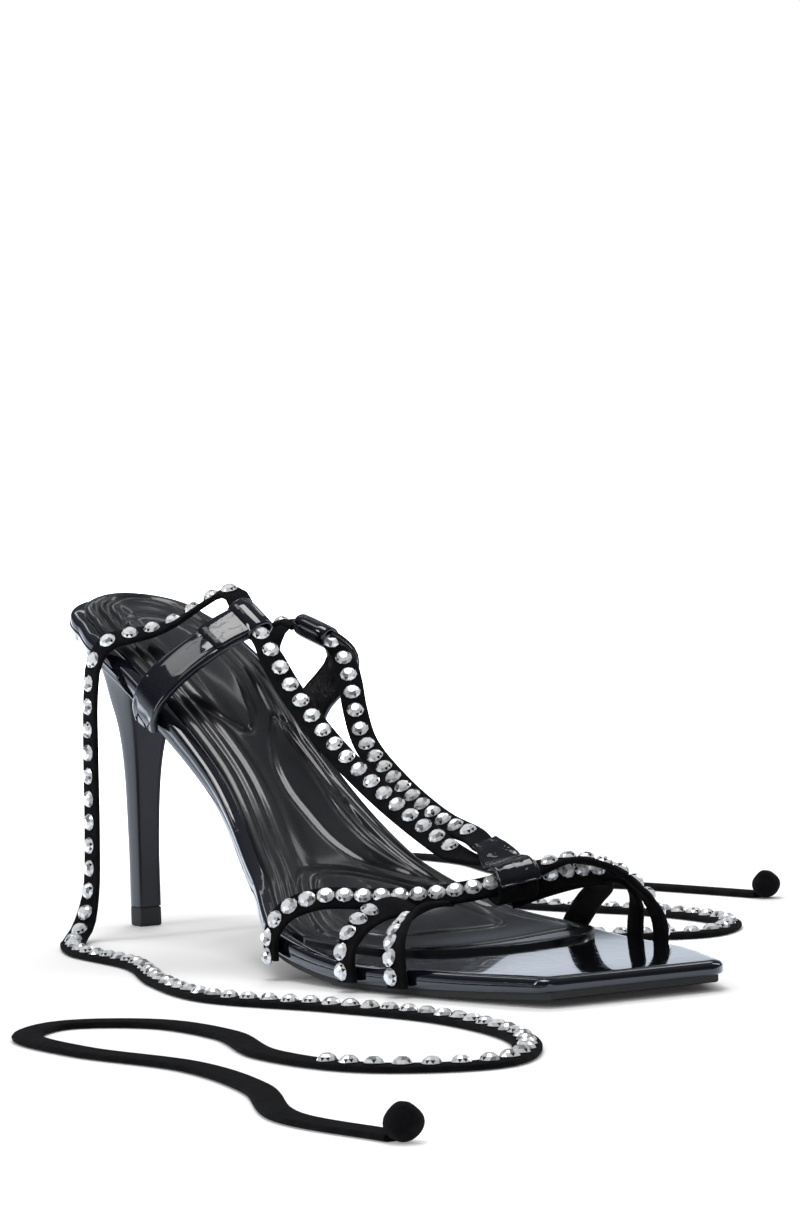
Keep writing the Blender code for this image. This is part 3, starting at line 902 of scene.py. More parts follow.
OUTSOLE_RUBBER = Hide(
    "outsole_rubber", (0.008, 0.0088, 0.012), (0.013, 0.0142, 0.0185), (0.4, 0.52),
    Grain.SPECKLE, 0.5, 0.06, 0.6, patch_size=10.0, specular=0.2,
)
LIFT_RUBBER = Hide(
    "top_lift_rubber", (0.008, 0.008, 0.009), (0.015, 0.015, 0.0165), (0.5, 0.62),
    Grain.SPECKLE, 0.4, 0.06, 0.6, patch_size=4.0,
)
CRYSTAL = Crystal()


def dress(piece: Piece, finish: Hide | Crystal, nodes: Sequence[str] = ()) -> Piece:
    """Gives a piece its finish and ties it to the solids.

    Args:
        piece: The piece.
        finish: Its finish.
        nodes: The solids that the piece stands for.

    Returns:
        The piece.
    """
    piece.data.materials.clear()
    piece.data.materials.append(finish.material())
    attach(piece, "root")
    if nodes:
        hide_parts(*nodes)
    LOG.info("%s: %d faces", piece.name, len(piece.data.polygons))
    return piece


# View, floor and light


@dataclass(frozen=True)
class Softbox:
    """One flat studio light, aimed at a place."""

    name: str
    place: tuple[float, float, float]
    aim: tuple[float, float, float]
    size: tuple[float, float]
    power: float
    mirrored: bool = True

    def hang(self) -> None:
        """Hangs the light, in millimetres of the tables."""
        lamp = bpy.data.lights.new(self.name, "AREA")
        lamp.shape = "RECTANGLE"
        lamp.size, lamp.size_y = (s * MM for s in self.size)
        lamp.energy = self.power
        made = bpy.data.objects.new(self.name, lamp)
        made.visible_glossy = self.mirrored
        bpy.context.scene.collection.objects.link(made)
        start, end = Vector(world(self.place)), Vector(world(self.aim))
        turned = (end - start).to_track_quat("-Z", "Y").to_matrix().to_4x4()
        made.matrix_world = Matrix.Translation(start) @ turned


@dataclass(frozen=True)
class Studio:
    """The camera, the pale floor and the soft light."""

    azimuth: float = 56.94
    elevation: float = 2.89
    roll: float = 1.946
    distance: float = 966.16
    focal: float = 4432.49
    target: tuple[float, float, float] = (161.22, -18.38, 70.78)
    centre: tuple[float, float] = (400.589, 659.594)
    frame: tuple[int, int] = (800, 1209)
    sensor: float = 36.0
    low_sky: float = 0.27
    high_sky: float = 0.32
    dim_room: float = 0.055
    low_room: float = 0.07
    high_room: float = 0.13
    bright_wall: float = 0.78
    wall_tint: tuple[float, float, float] = (0.8, 0.88, 1.0)
    floor_size: float = 6.0
    floor_paint: tuple[float, float, float] = (0.9, 0.9, 0.903)
    # The floor glows though it is no lamp: painted light, faint everywhere and strong away from the shoe
    floor_glow: float = 0.02
    least_reflected_floor: float = 0.04
    far_floor_glow: float = 2.3
    backdrop: float = 1.05
    # Soft steps of a distance in metres or of a direction, from where each is off to where it is on
    # Reflections keep the floor near the shoe and behind it and see it dark elsewhere: painted reflection
    near_reflected_floor: tuple[float, float] = (0.55, 0.18)
    back_reflected_floor: tuple[float, float] = (-0.15, -0.8)
    far_floor_step: tuple[float, float] = (0.12, 0.8)
    sky_step: tuple[float, float] = (-0.2, 1.0)
    wall_step: tuple[float, float] = (-0.1, -0.75)
    wall_top: tuple[float, float] = (0.32, 0.03)
    rim_step: tuple[float, float] = (0.45, 0.0)
    dome_step: tuple[float, float] = (0.3, 0.95)
    softboxes: tuple[Softbox, ...] = (
        Softbox("top_softbox", (95.0, -140.0, 1040.0), (110.0, 0.0, 40.0), (520.0, 400.0), 3.6),
        Softbox("back_softbox", (-480.0, 400.0, 720.0), (150.0, 0.0, 10.0), (520.0, 300.0), 3.8, False),
        Softbox("back_sheet", (-480.0, 400.0, 720.0), (150.0, 0.0, 10.0), (700.0, 360.0), 1.15),
        Softbox("outer_softbox", (-230.0, -420.0, 960.0), (60.0, -10.0, 70.0), (300.0, 240.0), 0.42),
        Softbox("outer_strip", (-120.0, -1000.0, 420.0), (110.0, 0.0, 40.0), (160.0, 620.0), 2.2),
        Softbox("inner_strip", (20.0, 950.0, 700.0), (110.0, 0.0, 40.0), (160.0, 620.0), 1.2),
    )

    def place_camera(self) -> None:
        """Places the camera at the photograph's angle."""
        a, e, r = (math.radians(v) for v in (self.azimuth, self.elevation, self.roll))
        back = np.array([math.sin(a) * math.cos(e), -math.cos(a) * math.cos(e), math.sin(e)])
        right = np.array([math.cos(a), math.sin(a), 0.0])
        up = np.cross(back, right)
        c, s = math.cos(r), math.sin(r)
        right, up = c * right - s * up, s * right + c * up
        lens = bpy.data.cameras.new("camera")
        tall = self.frame[1]
        lens.sensor_width, lens.sensor_fit = self.sensor, "AUTO"
        lens.lens = self.focal * self.sensor / tall
        lens.shift_x = (self.frame[0] / 2 - self.centre[0]) / tall
        lens.shift_y = (self.centre[1] - tall / 2) / tall
        lens.clip_start, lens.clip_end = 0.05, 50.0
        made = bpy.data.objects.new("camera", lens)
        bpy.context.scene.collection.objects.link(made)
        place = world(np.array(self.target) + back * self.distance)
        made.matrix_world = placed(right, up, back, place)
        bpy.context.scene.camera = made

    def lay_floor(self) -> None:
        """Lays the pale floor, with a painted glow and a painted, tinted, darkened look in reflections."""
        clear_selection()
        bpy.ops.mesh.primitive_circle_add(vertices=96, radius=self.floor_size, fill_type="NGON")
        made = bpy.context.object
        made.name = "floor"
        paint, tree, shader = new_material("floor_paint")
        spot_on = tree.nodes.new("ShaderNodeTexCoord").outputs["Object"]
        away = tree.nodes.new("ShaderNodeVectorMath")
        away.operation = "LENGTH"
        tree.links.new(spot_on, away.inputs[0])
        way = tree.nodes.new("ShaderNodeSeparateXYZ")
        tree.links.new(spot_on, way.inputs["Vector"])
        sums = Shades.arithmetic
        # How much of the floor reflections see: painted reflection, dark except near the shoe and behind it
        near = self.ramp(tree, away.outputs["Value"], *self.near_reflected_floor)
        back = self.ramp(tree, way.outputs["X"], *self.back_reflected_floor)
        reflected_floor_share = sums(tree, "MAXIMUM", sums(tree, "MAXIMUM", near, back), self.least_reflected_floor)
        shiny = tree.nodes.new("ShaderNodeLightPath").outputs["Is Glossy Ray"]
        painted_dark_reflection = sums(tree, "MULTIPLY", shiny, sums(tree, "SUBTRACT", 1.0, reflected_floor_share))
        # Glossy rays see the floor in the wall's blue tint, and black where it is not kept: painted
        # reflection
        painted_reflection_tint, mix = tree.nodes.new("ShaderNodeMix"), tree.nodes.new("ShaderNodeMix")
        painted_reflection_tint.data_type = mix.data_type = "RGBA"
        set_inputs(painted_reflection_tint, {"A": (*self.floor_paint, 1.0), "B": (*self.wall_tint, 1.0)})
        set_inputs(mix, {"B": (0.0, 0.0, 0.0, 1.0)})
        tree.links.new(shiny, painted_reflection_tint.inputs["Factor"])
        tree.links.new(painted_reflection_tint.outputs["Result"], mix.inputs["A"])
        tree.links.new(painted_dark_reflection, mix.inputs["Factor"])
        tree.links.new(mix.outputs["Result"], shader.inputs["Base Color"])
        tree.links.new(mix.outputs["Result"], shader.inputs["Emission Color"])
        # The floor glows, faintly everywhere and strongly away from the shoe: painted light
        far_glow = self.glow(tree, away.outputs["Value"], self.far_floor_step, self.far_floor_glow)
        tree.links.new(sums(tree, "ADD", far_glow, self.floor_glow), shader.inputs["Emission Strength"])
        set_inputs(shader, {"Roughness": 0.9, "Specular IOR Level": 0.0})
        made.data.materials.append(paint)

    def light(self) -> None:
        """Sets the even sky, the softboxes and a plain reading of the light."""
        scene = bpy.context.scene
        sky = bpy.data.worlds.new("studio_sky")
        sky.use_nodes = True
        tree = sky.node_tree
        even = tree.nodes["Background"]
        plain, room = tree.nodes.new("ShaderNodeBackground"), tree.nodes.new("ShaderNodeBackground")
        set_inputs(even, {"Color": (1.0, 1.0, 1.0, 1.0)})
        set_inputs(plain, {"Color": (1.0, 1.0, 1.0, 1.0), "Strength": self.backdrop})
        set_inputs(room, {"Color": (*self.wall_tint, 1.0)})
        way = tree.nodes.new("ShaderNodeSeparateXYZ")
        tree.links.new(tree.nodes.new("ShaderNodeTexCoord").outputs["Generated"], way.inputs["Vector"])
        sums = Shades.arithmetic
        up = way.outputs["Z"]
        rising = self.glow(tree, up, self.sky_step, self.high_sky)
        tree.links.new(sums(tree, "ADD", rising, self.low_sky), even.inputs["Strength"])
        behind = self.ramp(tree, way.outputs["X"], *self.wall_step)
        wall = sums(tree, "MULTIPLY", behind, self.ramp(tree, up, *self.wall_top))
        lit = sums(tree, "MULTIPLY", wall, self.bright_wall)
        rim = self.glow(tree, up, self.rim_step, self.low_room)
        dome = self.glow(tree, up, self.dome_step, self.high_room)
        for more in (rim, dome, self.dim_room):
            lit = sums(tree, "ADD", lit, more)
        tree.links.new(lit, room.inputs["Strength"])
        kind = tree.nodes.new("ShaderNodeLightPath")
        shiny, seen = tree.nodes.new("ShaderNodeMixShader"), tree.nodes.new("ShaderNodeMixShader")
        for node, share, first, second in (
            (shiny, "Is Glossy Ray", even, room),
            (seen, "Is Camera Ray", shiny, plain),
        ):
            tree.links.new(kind.outputs[share], node.inputs[0])
            tree.links.new(first.outputs[0], node.inputs[1])
            tree.links.new(second.outputs[0], node.inputs[2])
        tree.links.new(seen.outputs[0], tree.nodes["World Output"].inputs["Surface"])
        scene.world = sky
        for box in self.softboxes:
            box.hang()
        scene.view_settings.view_transform = "Standard"
        scene.view_settings.look = "None"

    @staticmethod
    def ramp(
        tree: bpy.types.NodeTree, value: bpy.types.NodeSocket, off: float, on: float
    ) -> bpy.types.NodeSocket:
        """A soft step of a value, from 0 at off to 1 at on.

        Args:
            tree: The tree.
            value: The value.
            off: Where the step is 0.
            on: Where the step is 1.

        Returns:
            The socket of the result.
        """
        node = tree.nodes.new("ShaderNodeMapRange")
        node.interpolation_type = "SMOOTHSTEP"
        rising = float(on > off)
        set_inputs(node, {"From Min": min(off, on), "From Max": max(off, on)})
        set_inputs(node, {"To Min": 1.0 - rising, "To Max": rising})
        tree.links.new(value, node.inputs["Value"])
        return node.outputs["Result"]

    @classmethod
    def glow(
        cls, tree: bpy.types.NodeTree, value: bpy.types.NodeSocket, step: tuple[float, float], strength: float
    ) -> bpy.types.NodeSocket:
        """A soft step of a value that rises to a strength."""
        return Shades.arithmetic(tree, "MULTIPLY", cls.ramp(tree, value, *step), strength)

    def build(self) -> None:
        """Makes the whole studio."""
        self.place_camera()
        self.lay_floor()
        self.light()


# The last, which gives every layer its outline and height


@dataclass
class Last:
    """The foot's shape: the sole's edges in plan and its profile from the side."""

    length: float = 224.0
    seat_height: float = 82.2
    seat_slope: float = 0.28
    seat_reach: float = 0.49
    ball_x: float = 173.0
    ball_reach: float = 0.50
    ball_height: float = 5.85
    toe_rise: float = 1.2
    seat_round: float = 16.0
    toe_round: float = 3.6
    toe_skew: float = 3.0
    toe_skew_x: float = 185.0
    thick_seat: float = 5.8
    thick_ball: float = 4.0
    thick_toe: float = 3.6
    edges: tuple[Edge, ...] = (
        Edge(16.0, -17.9, 19.2), Edge(25.0, -19.9, 20.9), Edge(45.0, -19.6, 21.1), Edge(75.0, -18.1, 17.3),
        Edge(105.0, -25.0, 20.4), Edge(135.0, -36.0, 29.6), Edge(157.0, -36.4, 37.6),
        Edge(188.0, -32.4, 34.0), Edge(224.0, -24.0, 20.6),
    )
    profile: tuple[np.ndarray, np.ndarray] = field(init=False)

    def __post_init__(self) -> None:
        """Works out the side profile."""
        t = np.linspace(0, 1, 900)
        s = 1 - t
        reach = self.seat_reach * self.ball_x
        mid = self.ball_x * (1 - self.ball_reach)
        drop = self.seat_height - self.seat_slope * reach
        x = 3 * s * s * t * reach + 3 * s * t * t * mid + t**3 * self.ball_x
        z = s**3 * self.seat_height + 3 * s * s * t * drop + (3 * s * t * t + t**3) * self.ball_height
        toe = np.linspace(self.ball_x, self.length, 60)[1:]
        rise = self.toe_rise * ((toe - self.ball_x) / (self.length - self.ball_x)) ** 2
        self.profile = np.concatenate([x, toe]), np.concatenate([z, self.ball_height + rise])

    def top(self, x: np.ndarray | float) -> np.ndarray:
        """The height of the board's top."""
        return np.interp(x, *self.profile)

    def bottom(self, x: np.ndarray | float) -> np.ndarray:
        """The height of the board's underside.

        Args:
            x: The place along the foot.

        Returns:
            The height, or one for each place.
        """
        places = (0.0, 60.0, self.ball_x, self.length)
        thick = (self.thick_seat, self.thick_seat, self.thick_ball, self.thick_toe)
        return self.top(x) - np.interp(x, places, thick)

    def edge(self, x: float, side: Side) -> float:
        """The board's edge at x on one side.

        Args:
            x: The place along the foot.
            side: The side of the foot.

        Returns:
            The edge's y.
        """
        if x < self.seat_round:
            ahead = (self.seat_round - x) / self.seat_round
            return self.edges[0][side.value] * math.sqrt(max(0.0, 1 - ahead * ahead))
        pulled = max(0.0, x - (self.length - self.toe_round)) / self.toe_round
        corner = self.toe_round * (1 - math.sqrt(max(0.0, 1 - pulled * pulled)))
        return between_rows(self.edges, side.value, x) - side.sign * corner

    def skewed(self, x: float, y: float) -> tuple[float, float]:
        """A place of a layer, drawn back at the toe on the outer side.

        Args:
            x: The place along the foot.
            y: The place across the foot.

        Returns:
            Its x and y.
        """
        lag = self.toe_skew * float(share_between(x, self.toe_skew_x, self.length)) ** 2
        inner = self.edge(x, Side.INNER)
        wide = inner - self.edge(x, Side.OUTER)
        return x - lag * (inner - y) / max(wide, 1.0), y

    def root(self, x: float, side: Side, height: float, thick: float) -> Stop:
        """A stop on the board's side, where a strap of that thickness starts.

        Args:
            x: The place along the foot.
            side: The side of the foot.
            height: The stop's height.
            thick: The strap's thickness.

        Returns:
            The stop.
        """
        slope = (self.edge(x + 1.0, side) - self.edge(x - 1.0, side)) / 2.0
        face = side.sign * unit(np.array([-slope, 1.0]))
        away = face * (GAP + thick / 2 + ROOT_SLACK)
        return Stop(x + away[0], self.edge(x, side) + away[1], height, face[0], face[1], 0.0)


LAST = Last()


def read_stops(rows: Rows, thick: float) -> tuple[Stop, ...]:
    """The stops of a strap from a table.

    Args:
        rows: A place and the way of the face; or x, a side and a height for a root on the board; or x and y
            for a place on the floor.
        thick: The strap's thickness.

    Returns:
        The stops.
    """
    made = []
    for row in rows:
        if len(row) == len(Stop._fields):
            made.append(Stop(*row))
        elif isinstance(row[1], Side):
            made.append(LAST.root(*row, thick))
        else:
            made.append(Stop(*row, thick / 2 + FLOOR_SLACK, 0.0, 0.0, 1.0))
    return tuple(made)


@dataclass
class Plan:
    """A layer's outline seen from above, filled as a grid with four corners."""

    limits: tuple[float, float]
    sides: Callable[[float], tuple[float, float]]
    back_corner: float = 14.0
    front_corner: float = 2.3
    closed: np.ndarray = field(init=False)
    walked: np.ndarray = field(init=False)
    front: float = field(init=False)
    front_half: float = field(init=False)

    def __post_init__(self) -> None:
        """Walks once round the outline, from the back along the outer side."""
        start, end = self.limits
        outer, inner = [], []
        for t in np.linspace(0, math.pi, 500):
            x = start + (end - start) * (1 - math.cos(t)) / 2
            low, high = self.sides(x)
            outer.append(LAST.skewed(x, low))
            inner.append(LAST.skewed(x, high))
        ring = np.array(outer + inner[::-1] + outer[:1])
        self.closed = ring
        self.walked = lengths_along(ring)
        gap = self.walked[len(outer)] - self.walked[len(outer) - 1]
        self.front = self.walked[len(outer) - 1] + gap / 2
        self.front_half = gap / 2

    def at(self, length: np.ndarray) -> np.ndarray:
        """The places on the outline after a length walked."""
        return read_off(np.mod(length, self.walked[-1]), self.walked, self.closed)

    def fill(self, u: np.ndarray, v: np.ndarray) -> np.ndarray:
        """The places inside the outline.

        Args:
            u: The shares along, from the back.
            v: The shares across, from the outer side.

        Returns:
            Rows of x and y.
        """
        b, f, total = self.back_corner, self.front_half + self.front_corner, self.walked[-1]
        outer = self.at(b + u * (self.front - f - b))
        inner = self.at(total - b - u * (total - b - self.front - f))
        back = self.at(b - v * 2 * b)
        ahead = self.at(self.front - f + v * 2 * f)
        c00, c01 = self.at(np.array(b)), self.at(np.array(total - b))
        c10, c11 = self.at(np.array(self.front - f)), self.at(np.array(self.front + f))
        u, v = u[:, None], v[:, None]
        corners = (1 - u) * ((1 - v) * c00 + v * c01) + u * ((1 - v) * c10 + v * c11)
        return (1 - v) * outer + v * inner + (1 - u) * back + u * ahead - corners

    def depth(self, points: np.ndarray) -> np.ndarray:
        """How far points lie inside the outline."""
        return depth_inside(points, self.closed[:-1:2])


# Sole: covered board, outsole and sock


class Pad(NamedTuple):
    """A pad moulded in the sock, with a groove round it."""

    outline: Pairs
    rise: float
    soft: float
    groove: float


@dataclass
class Sole:
    """The patent-covered board, the thin outsole and the padded sock."""

    # How far and how wide the board's rims roll; more of both at the seat
    top_roll: tuple[float, float] = (1.4, 2.6)
    seat_roll: tuple[float, float] = (0.5, 0.8)
    low_roll: tuple[float, float] = (0.7, 0.8)
    seat_step: tuple[float, float] = (60.0, 38.0)
    toe_bow: float = 0.6
    toe_bow_x: float = 172.0
    toe_bow_power: float = 4.5
    seam_size: float = 0.32
    seam_reach: tuple[float, float] = (62.0, 50.0)
    seam_height: float = 0.42
    outsole_thick: float = 1.8
    outsole_inset: float = 1.3
    outsole_back: float = 40.0
    outsole_lift: float = 0.5
    outsole_feather: float = 14.0
    outsole_round: float = 0.35
    outsole_gap: float = 0.02
    sock_inset: float = 3.4
    sock_sunk: float = 0.15
    sock_corners: tuple[float, float] = (14.0, 22.0)
    sock_tip: float = 169.1
    sock_front: Pairs = (
        (-5.39, -32.75), (-4.59, -28.5), (-3.48, -22.0), (-2.145, -13.0), (-0.949, -3.0), (0.0, 3.0),
        (0.548, 8.0), (1.612, 20.0), (2.665, 29.8), (3.619, 34.0), (4.135, 33.44),
    )
    # Values at the seat and what is added to them in front of the step
    sock_step: tuple[float, float] = (115.0, 147.0)
    sock_rim: tuple[float, float] = (0.45, 0.4)
    sock_thick: tuple[float, float] = (1.7, -0.65)
    sock_soft: tuple[float, float] = (2.2, -1.3)
    sock_flat: tuple[float, float] = (1.0, -0.8)
    sock_crown: float = 0.7
    sock_arch: float = 2.2
    sock_arch_x: float = 92.0
    sock_arch_span: float = 34.0
    sock_full_width: float = 24.0
    # Ridges along the sock's edge, by their depth inside it, height and width
    ridges: Triples = ((2.9, -0.5, 0.7), (4.3, 0.3, 0.8), (5.7, -0.5, 0.7), (8.4, 0.35, 1.8))
    ridge_step: tuple[float, float] = (150.0, 120.0)
    ridge_seat_step: tuple[float, float] = (75.0, 50.0)
    ridge_seat_more: float = 0.5
    groove_wide: float = 0.7
    calm_edge: float = 1.5
    # The pad under the heel, the leaf in the arch, the pad under the ball and the one inside it
    pads: tuple[Pad, ...] = (
        Pad((
            (25.5, -10.0), (21.0, -4.0), (21.6, 2.5), (28.7, 5.8), (46.3, 6.9), (56.6, 5.2), (64.7, 2.3),
            (68.8, -1.6), (66.8, -4.6), (61.8, -7.6), (54.7, -10.2), (36.0, -12.0),
        ), 0.7, 3.5, 0.42),
        Pad((
            (64.7, 8.6), (70.1, 3.8), (78.0, -0.8), (85.8, -2.6), (94.1, -2.4), (103.8, -1.4), (110.9, 1.7),
            (115.8, 7.6), (121.0, 14.0), (114.5, 12.6), (106.5, 10.8), (97.7, 10.4), (85.4, 10.7),
            (75.3, 11.2),
        ), 0.8, 2.4, 0.42),
        Pad((
            (112.0, -15.0), (113.0, -5.0), (117.6, 3.0), (125.0, 12.0), (135.0, 21.0), (144.5, 27.0),
            (150.0, 29.6), (155.0, 30.4), (157.4, 29.6), (158.2, 27.0), (160.0, 19.5), (163.0, 8.0),
            (164.4, -2.0), (164.0, -9.7), (160.0, -20.0), (152.0, -26.0), (140.0, -27.5), (126.0, -23.5),
            (116.0, -19.0),
        ), 0.25, 2.0, 0.55),
        Pad((
            (114.5, -11.9), (115.0, -6.0), (118.0, -0.7), (122.7, 5.7), (129.0, 10.8), (136.3, 14.1),
            (142.5, 15.5), (146.6, 15.3), (148.6, 14.0), (149.5, 10.5), (149.6, 4.0), (149.2, -4.0),
            (148.4, -13.0), (143.0, -19.0), (133.0, -20.5), (121.5, -17.0),
        ), 0.25, 2.0, 0.55),
    )
    vein: Pairs = (
        (66.5, 8.4), (72.0, 7.6), (79.8, 6.8), (92.1, 5.8), (103.4, 6.5), (113.6, 9.8), (119.0, 12.8),
    )
    vein_deep: float = 0.4

    def board_sides(self, x: float) -> tuple[float, float]:
        """The board's two edges at x."""
        return LAST.edge(x, Side.OUTER), LAST.edge(x, Side.INNER)

    def outsole_sides(self, x: float) -> tuple[float, float]:
        """The outsole's two edges at x."""
        outer, inner = self.board_sides(x)
        return outer + self.outsole_inset, inner - self.outsole_inset

    def sock_sides(self, x: float) -> tuple[float, float]:
        """The sock's two edges at x, with a round back and a round front.

        Args:
            x: The place along the foot.

        Returns:
            The outer and the inner edge.
        """
        bend = LAST.seat_round + self.sock_inset
        share = math.sqrt(max(0.0, 1 - ((bend - min(x, bend)) / LAST.seat_round) ** 2))
        outer = (LAST.edge(max(x, bend), Side.OUTER) + self.sock_inset) * share
        inner = (LAST.edge(max(x, bend), Side.INNER) - self.sock_inset) * share
        behind = math.sqrt(max(0.0, self.sock_tip - x))
        if -behind > self.sock_front[0][0]:
            outer = between_rows(self.sock_front, 1, -behind)
        if behind < self.sock_front[-1][0]:
            inner = between_rows(self.sock_front, 1, behind)
        return outer, inner

    def make_board(self) -> Piece:
        """The board in its patent cover, with soft rims.

        Returns:
            The piece.
        """
        plan = Plan((0.0, LAST.length), self.board_sides)
        made = raise_slab(
            "board_cover", (190, 56), lambda u, v: plan.fill(self.gathered(u), self.gathered(v)),
            lambda p: self.board_low(p, plan), lambda p: self.board_height(p, plan),
        )
        return dress(made, PATENT, ("covered_board",))

    @staticmethod
    def gathered(share: np.ndarray) -> np.ndarray:
        """Shares along a side, set closer towards both ends so that the rims are finely stepped."""
        return share - 0.78 * np.sin(2 * np.pi * share) / (2 * np.pi)

    @staticmethod
    def rolled(depth: np.ndarray, wide: np.ndarray | float) -> np.ndarray:
        """How far a rim has rolled over, from 0 inside to 1 at the edge, by the depth inside the outline."""
        return 1 - np.sqrt(1 - np.clip(1 - depth / wide, 0, 1) ** 2)

    def board_low(self, points: np.ndarray, plan: Plan) -> np.ndarray:
        """The height of the cover's underside, rolled up at the edge."""
        rise, wide = self.low_roll
        return LAST.bottom(points[:, 0]) + rise * self.rolled(plan.depth(points), wide)

    def board_height(self, points: np.ndarray, plan: Plan) -> np.ndarray:
        """The height of the cover's top, rolled over at the edge and bowed at the toe.

        Args:
            points: Rows of x and y.
            plan: The board's outline.

        Returns:
            One height for each row.
        """
        x = points[:, 0]
        seat = eased(share_between(x, *self.seat_step))
        drop, wide = (rim + more * seat for rim, more in zip(self.top_roll, self.seat_roll))
        bow = self.toe_bow * share_between(x, self.toe_bow_x, LAST.length) ** self.toe_bow_power
        return LAST.top(x) - drop * self.rolled(plan.depth(points), wide) - bow

    def make_seam(self) -> Piece:
        """The fine bead where the cover's two parts meet round the seat.

        Returns:
            The piece.
        """
        plan = Plan((0.0, LAST.length), self.board_sides)
        total = plan.walked[-1]
        places = plan.at(np.linspace(total - self.seam_reach[0], total + self.seam_reach[1], 150))
        ways = np.gradient(places, axis=0)
        made = []
        for (x, y), way in zip(places, ways):
            z = float(LAST.bottom(x) + self.seam_height * (LAST.top(x) - LAST.bottom(x)))
            ahead = unit(np.array([way[0], way[1], 0.0]))
            out = np.array([ahead[1], -ahead[0], 0.0])
            made.append(Station(np.array([x, y, z]), ahead, np.cross(ahead, out), out))
        bead = strap_body("board_seam", made, bead_section(self.seam_size), 60.0)
        return dress(bead, PATENT)

    def make_outsole(self) -> Piece:
        """The matte outsole under the board.

        Returns:
            The piece.
        """

        def fill(u: np.ndarray, v: np.ndarray) -> np.ndarray:
            """The places inside the outsole, whose straight back edge is a side of the grid.

            Args:
                u: The shares along, from the back.
                v: The shares across, from the outer side.

            Returns:
                Rows of x and y.
            """
            reach = LAST.length - self.outsole_inset - self.outsole_back
            x = self.outsole_back + reach * np.sin(u * math.pi / 2)
            rows = []
            for place, share in zip(x, v):
                low, high = self.outsole_sides(float(place))
                rows.append(LAST.skewed(float(place), low + (high - low) * float(share)))
            return np.array(rows)

        rows = [fill(np.full(80, side), np.linspace(0, 1, 80)) for side in (0.0, 1.0)]
        sides = [fill(np.linspace(0, 1, 160), np.full(160, side)) for side in (0.0, 1.0)]
        outline = np.concatenate([sides[0], rows[1], sides[1][::-1], rows[0][::-1]])

        def low(p: np.ndarray) -> np.ndarray:
            """The underside, flat on the floor under the ball and lifted towards its edge.

            Args:
                p: Rows of x and y.

            Returns:
                One height for each row.
            """
            inside = np.clip(1 - np.maximum(depth_inside(p, outline), 0.0) / self.outsole_feather, 0, 1)
            flat = np.maximum(0.0, LAST.bottom(p[:, 0]) - GAP - self.outsole_thick)
            return flat + self.outsole_lift * inside * inside

        made = raise_slab(
            "outsole_sheet", (110, 24), fill, low, lambda p: LAST.bottom(p[:, 0]) - self.outsole_gap
        )
        round_lower_rim(made, self.outsole_round)
        return dress(made, OUTSOLE_RUBBER, ("outsole",))

    def sock_height(self, points: np.ndarray, plan: Plan) -> np.ndarray:
        """The height of the sock's padded top.

        Args:
            points: Rows of x and y.
            plan: The sock's outline.

        Returns:
            One height for each row.
        """
        x = points[:, 0]
        edge = np.maximum(plan.depth(points), 0.0)
        outer, inner = np.array([self.sock_sides(float(v)) for v in x]).T
        share = np.clip((points[:, 1] - outer) / np.maximum(inner - outer, 1.0), 0, 1)
        step = eased(share_between(x, *self.sock_step))
        parts = (self.sock_rim, self.sock_thick, self.sock_soft, self.sock_flat)
        rim, thick, soft, flat = (seat + more * step for seat, more in parts)
        crown = self.sock_crown * np.sin(np.pi * share) * flat
        arch = self.sock_arch * np.exp(-(((x - self.sock_arch_x) / self.sock_arch_span) ** 2))
        full = np.minimum(1.0, (inner - outer) / self.sock_full_width)
        rise = full * (crown + arch * share * share * (1.6 - 0.9 * share))
        roll = rim + (thick - rim) * np.sqrt(np.clip(1 - (1 - np.minimum(edge / soft, 1.0)) ** 2, 0, 1))
        calm = np.clip(edge / self.calm_edge, 0, 1)
        return LAST.top(x) + roll + rise * calm + self.sock_relief(points, edge) * calm

    def sock_relief(self, points: np.ndarray, edge: np.ndarray) -> np.ndarray:
        """The relief moulded in the sock.

        Args:
            points: Rows of x and y.
            edge: How far each point lies inside the sock's edge.

        Returns:
            One height for each row.
        """
        x = points[:, 0]
        relief = np.zeros(len(x))
        along = share_between(x, *self.ridge_step)
        seat = share_between(x, *self.ridge_seat_step)
        for place, high, wide in self.ridges:
            ridge = along * high * (1 + seat * self.ridge_seat_more)
            relief += ridge * np.exp(-(((edge - place) / wide) ** 2))
        for pad in self.pads:
            inside = depth_inside(points, round_outline(pad.outline))
            relief += pad.rise * (1 - np.exp(-np.maximum(inside, 0.0) / pad.soft))
            relief -= pad.groove * np.exp(-((inside / self.groove_wide) ** 2))
        off_vein = depth_inside(points, flat_route(self.vein), closed=False)
        return relief - self.vein_deep * np.exp(-((off_vein / self.groove_wide) ** 2))

    def make_sock(self) -> Piece:
        """The padded sock with its moulded ridges and pads.

        Returns:
            The piece.
        """
        plan = Plan((self.sock_inset, self.sock_tip), self.sock_sides, *self.sock_corners)
        made = raise_slab(
            "padded_sock", (350, 120), plan.fill,
            lambda p: LAST.top(p[:, 0]) - self.sock_sunk, lambda p: self.sock_height(p, plan),
        )
        dress(made, NAPPA, ("sock",))
        return made

    def build(self) -> list[Piece]:
        """Makes the sole's layers."""
        return [self.make_board(), self.make_seam(), self.make_outsole(), self.make_sock()]


# Heel and top lift


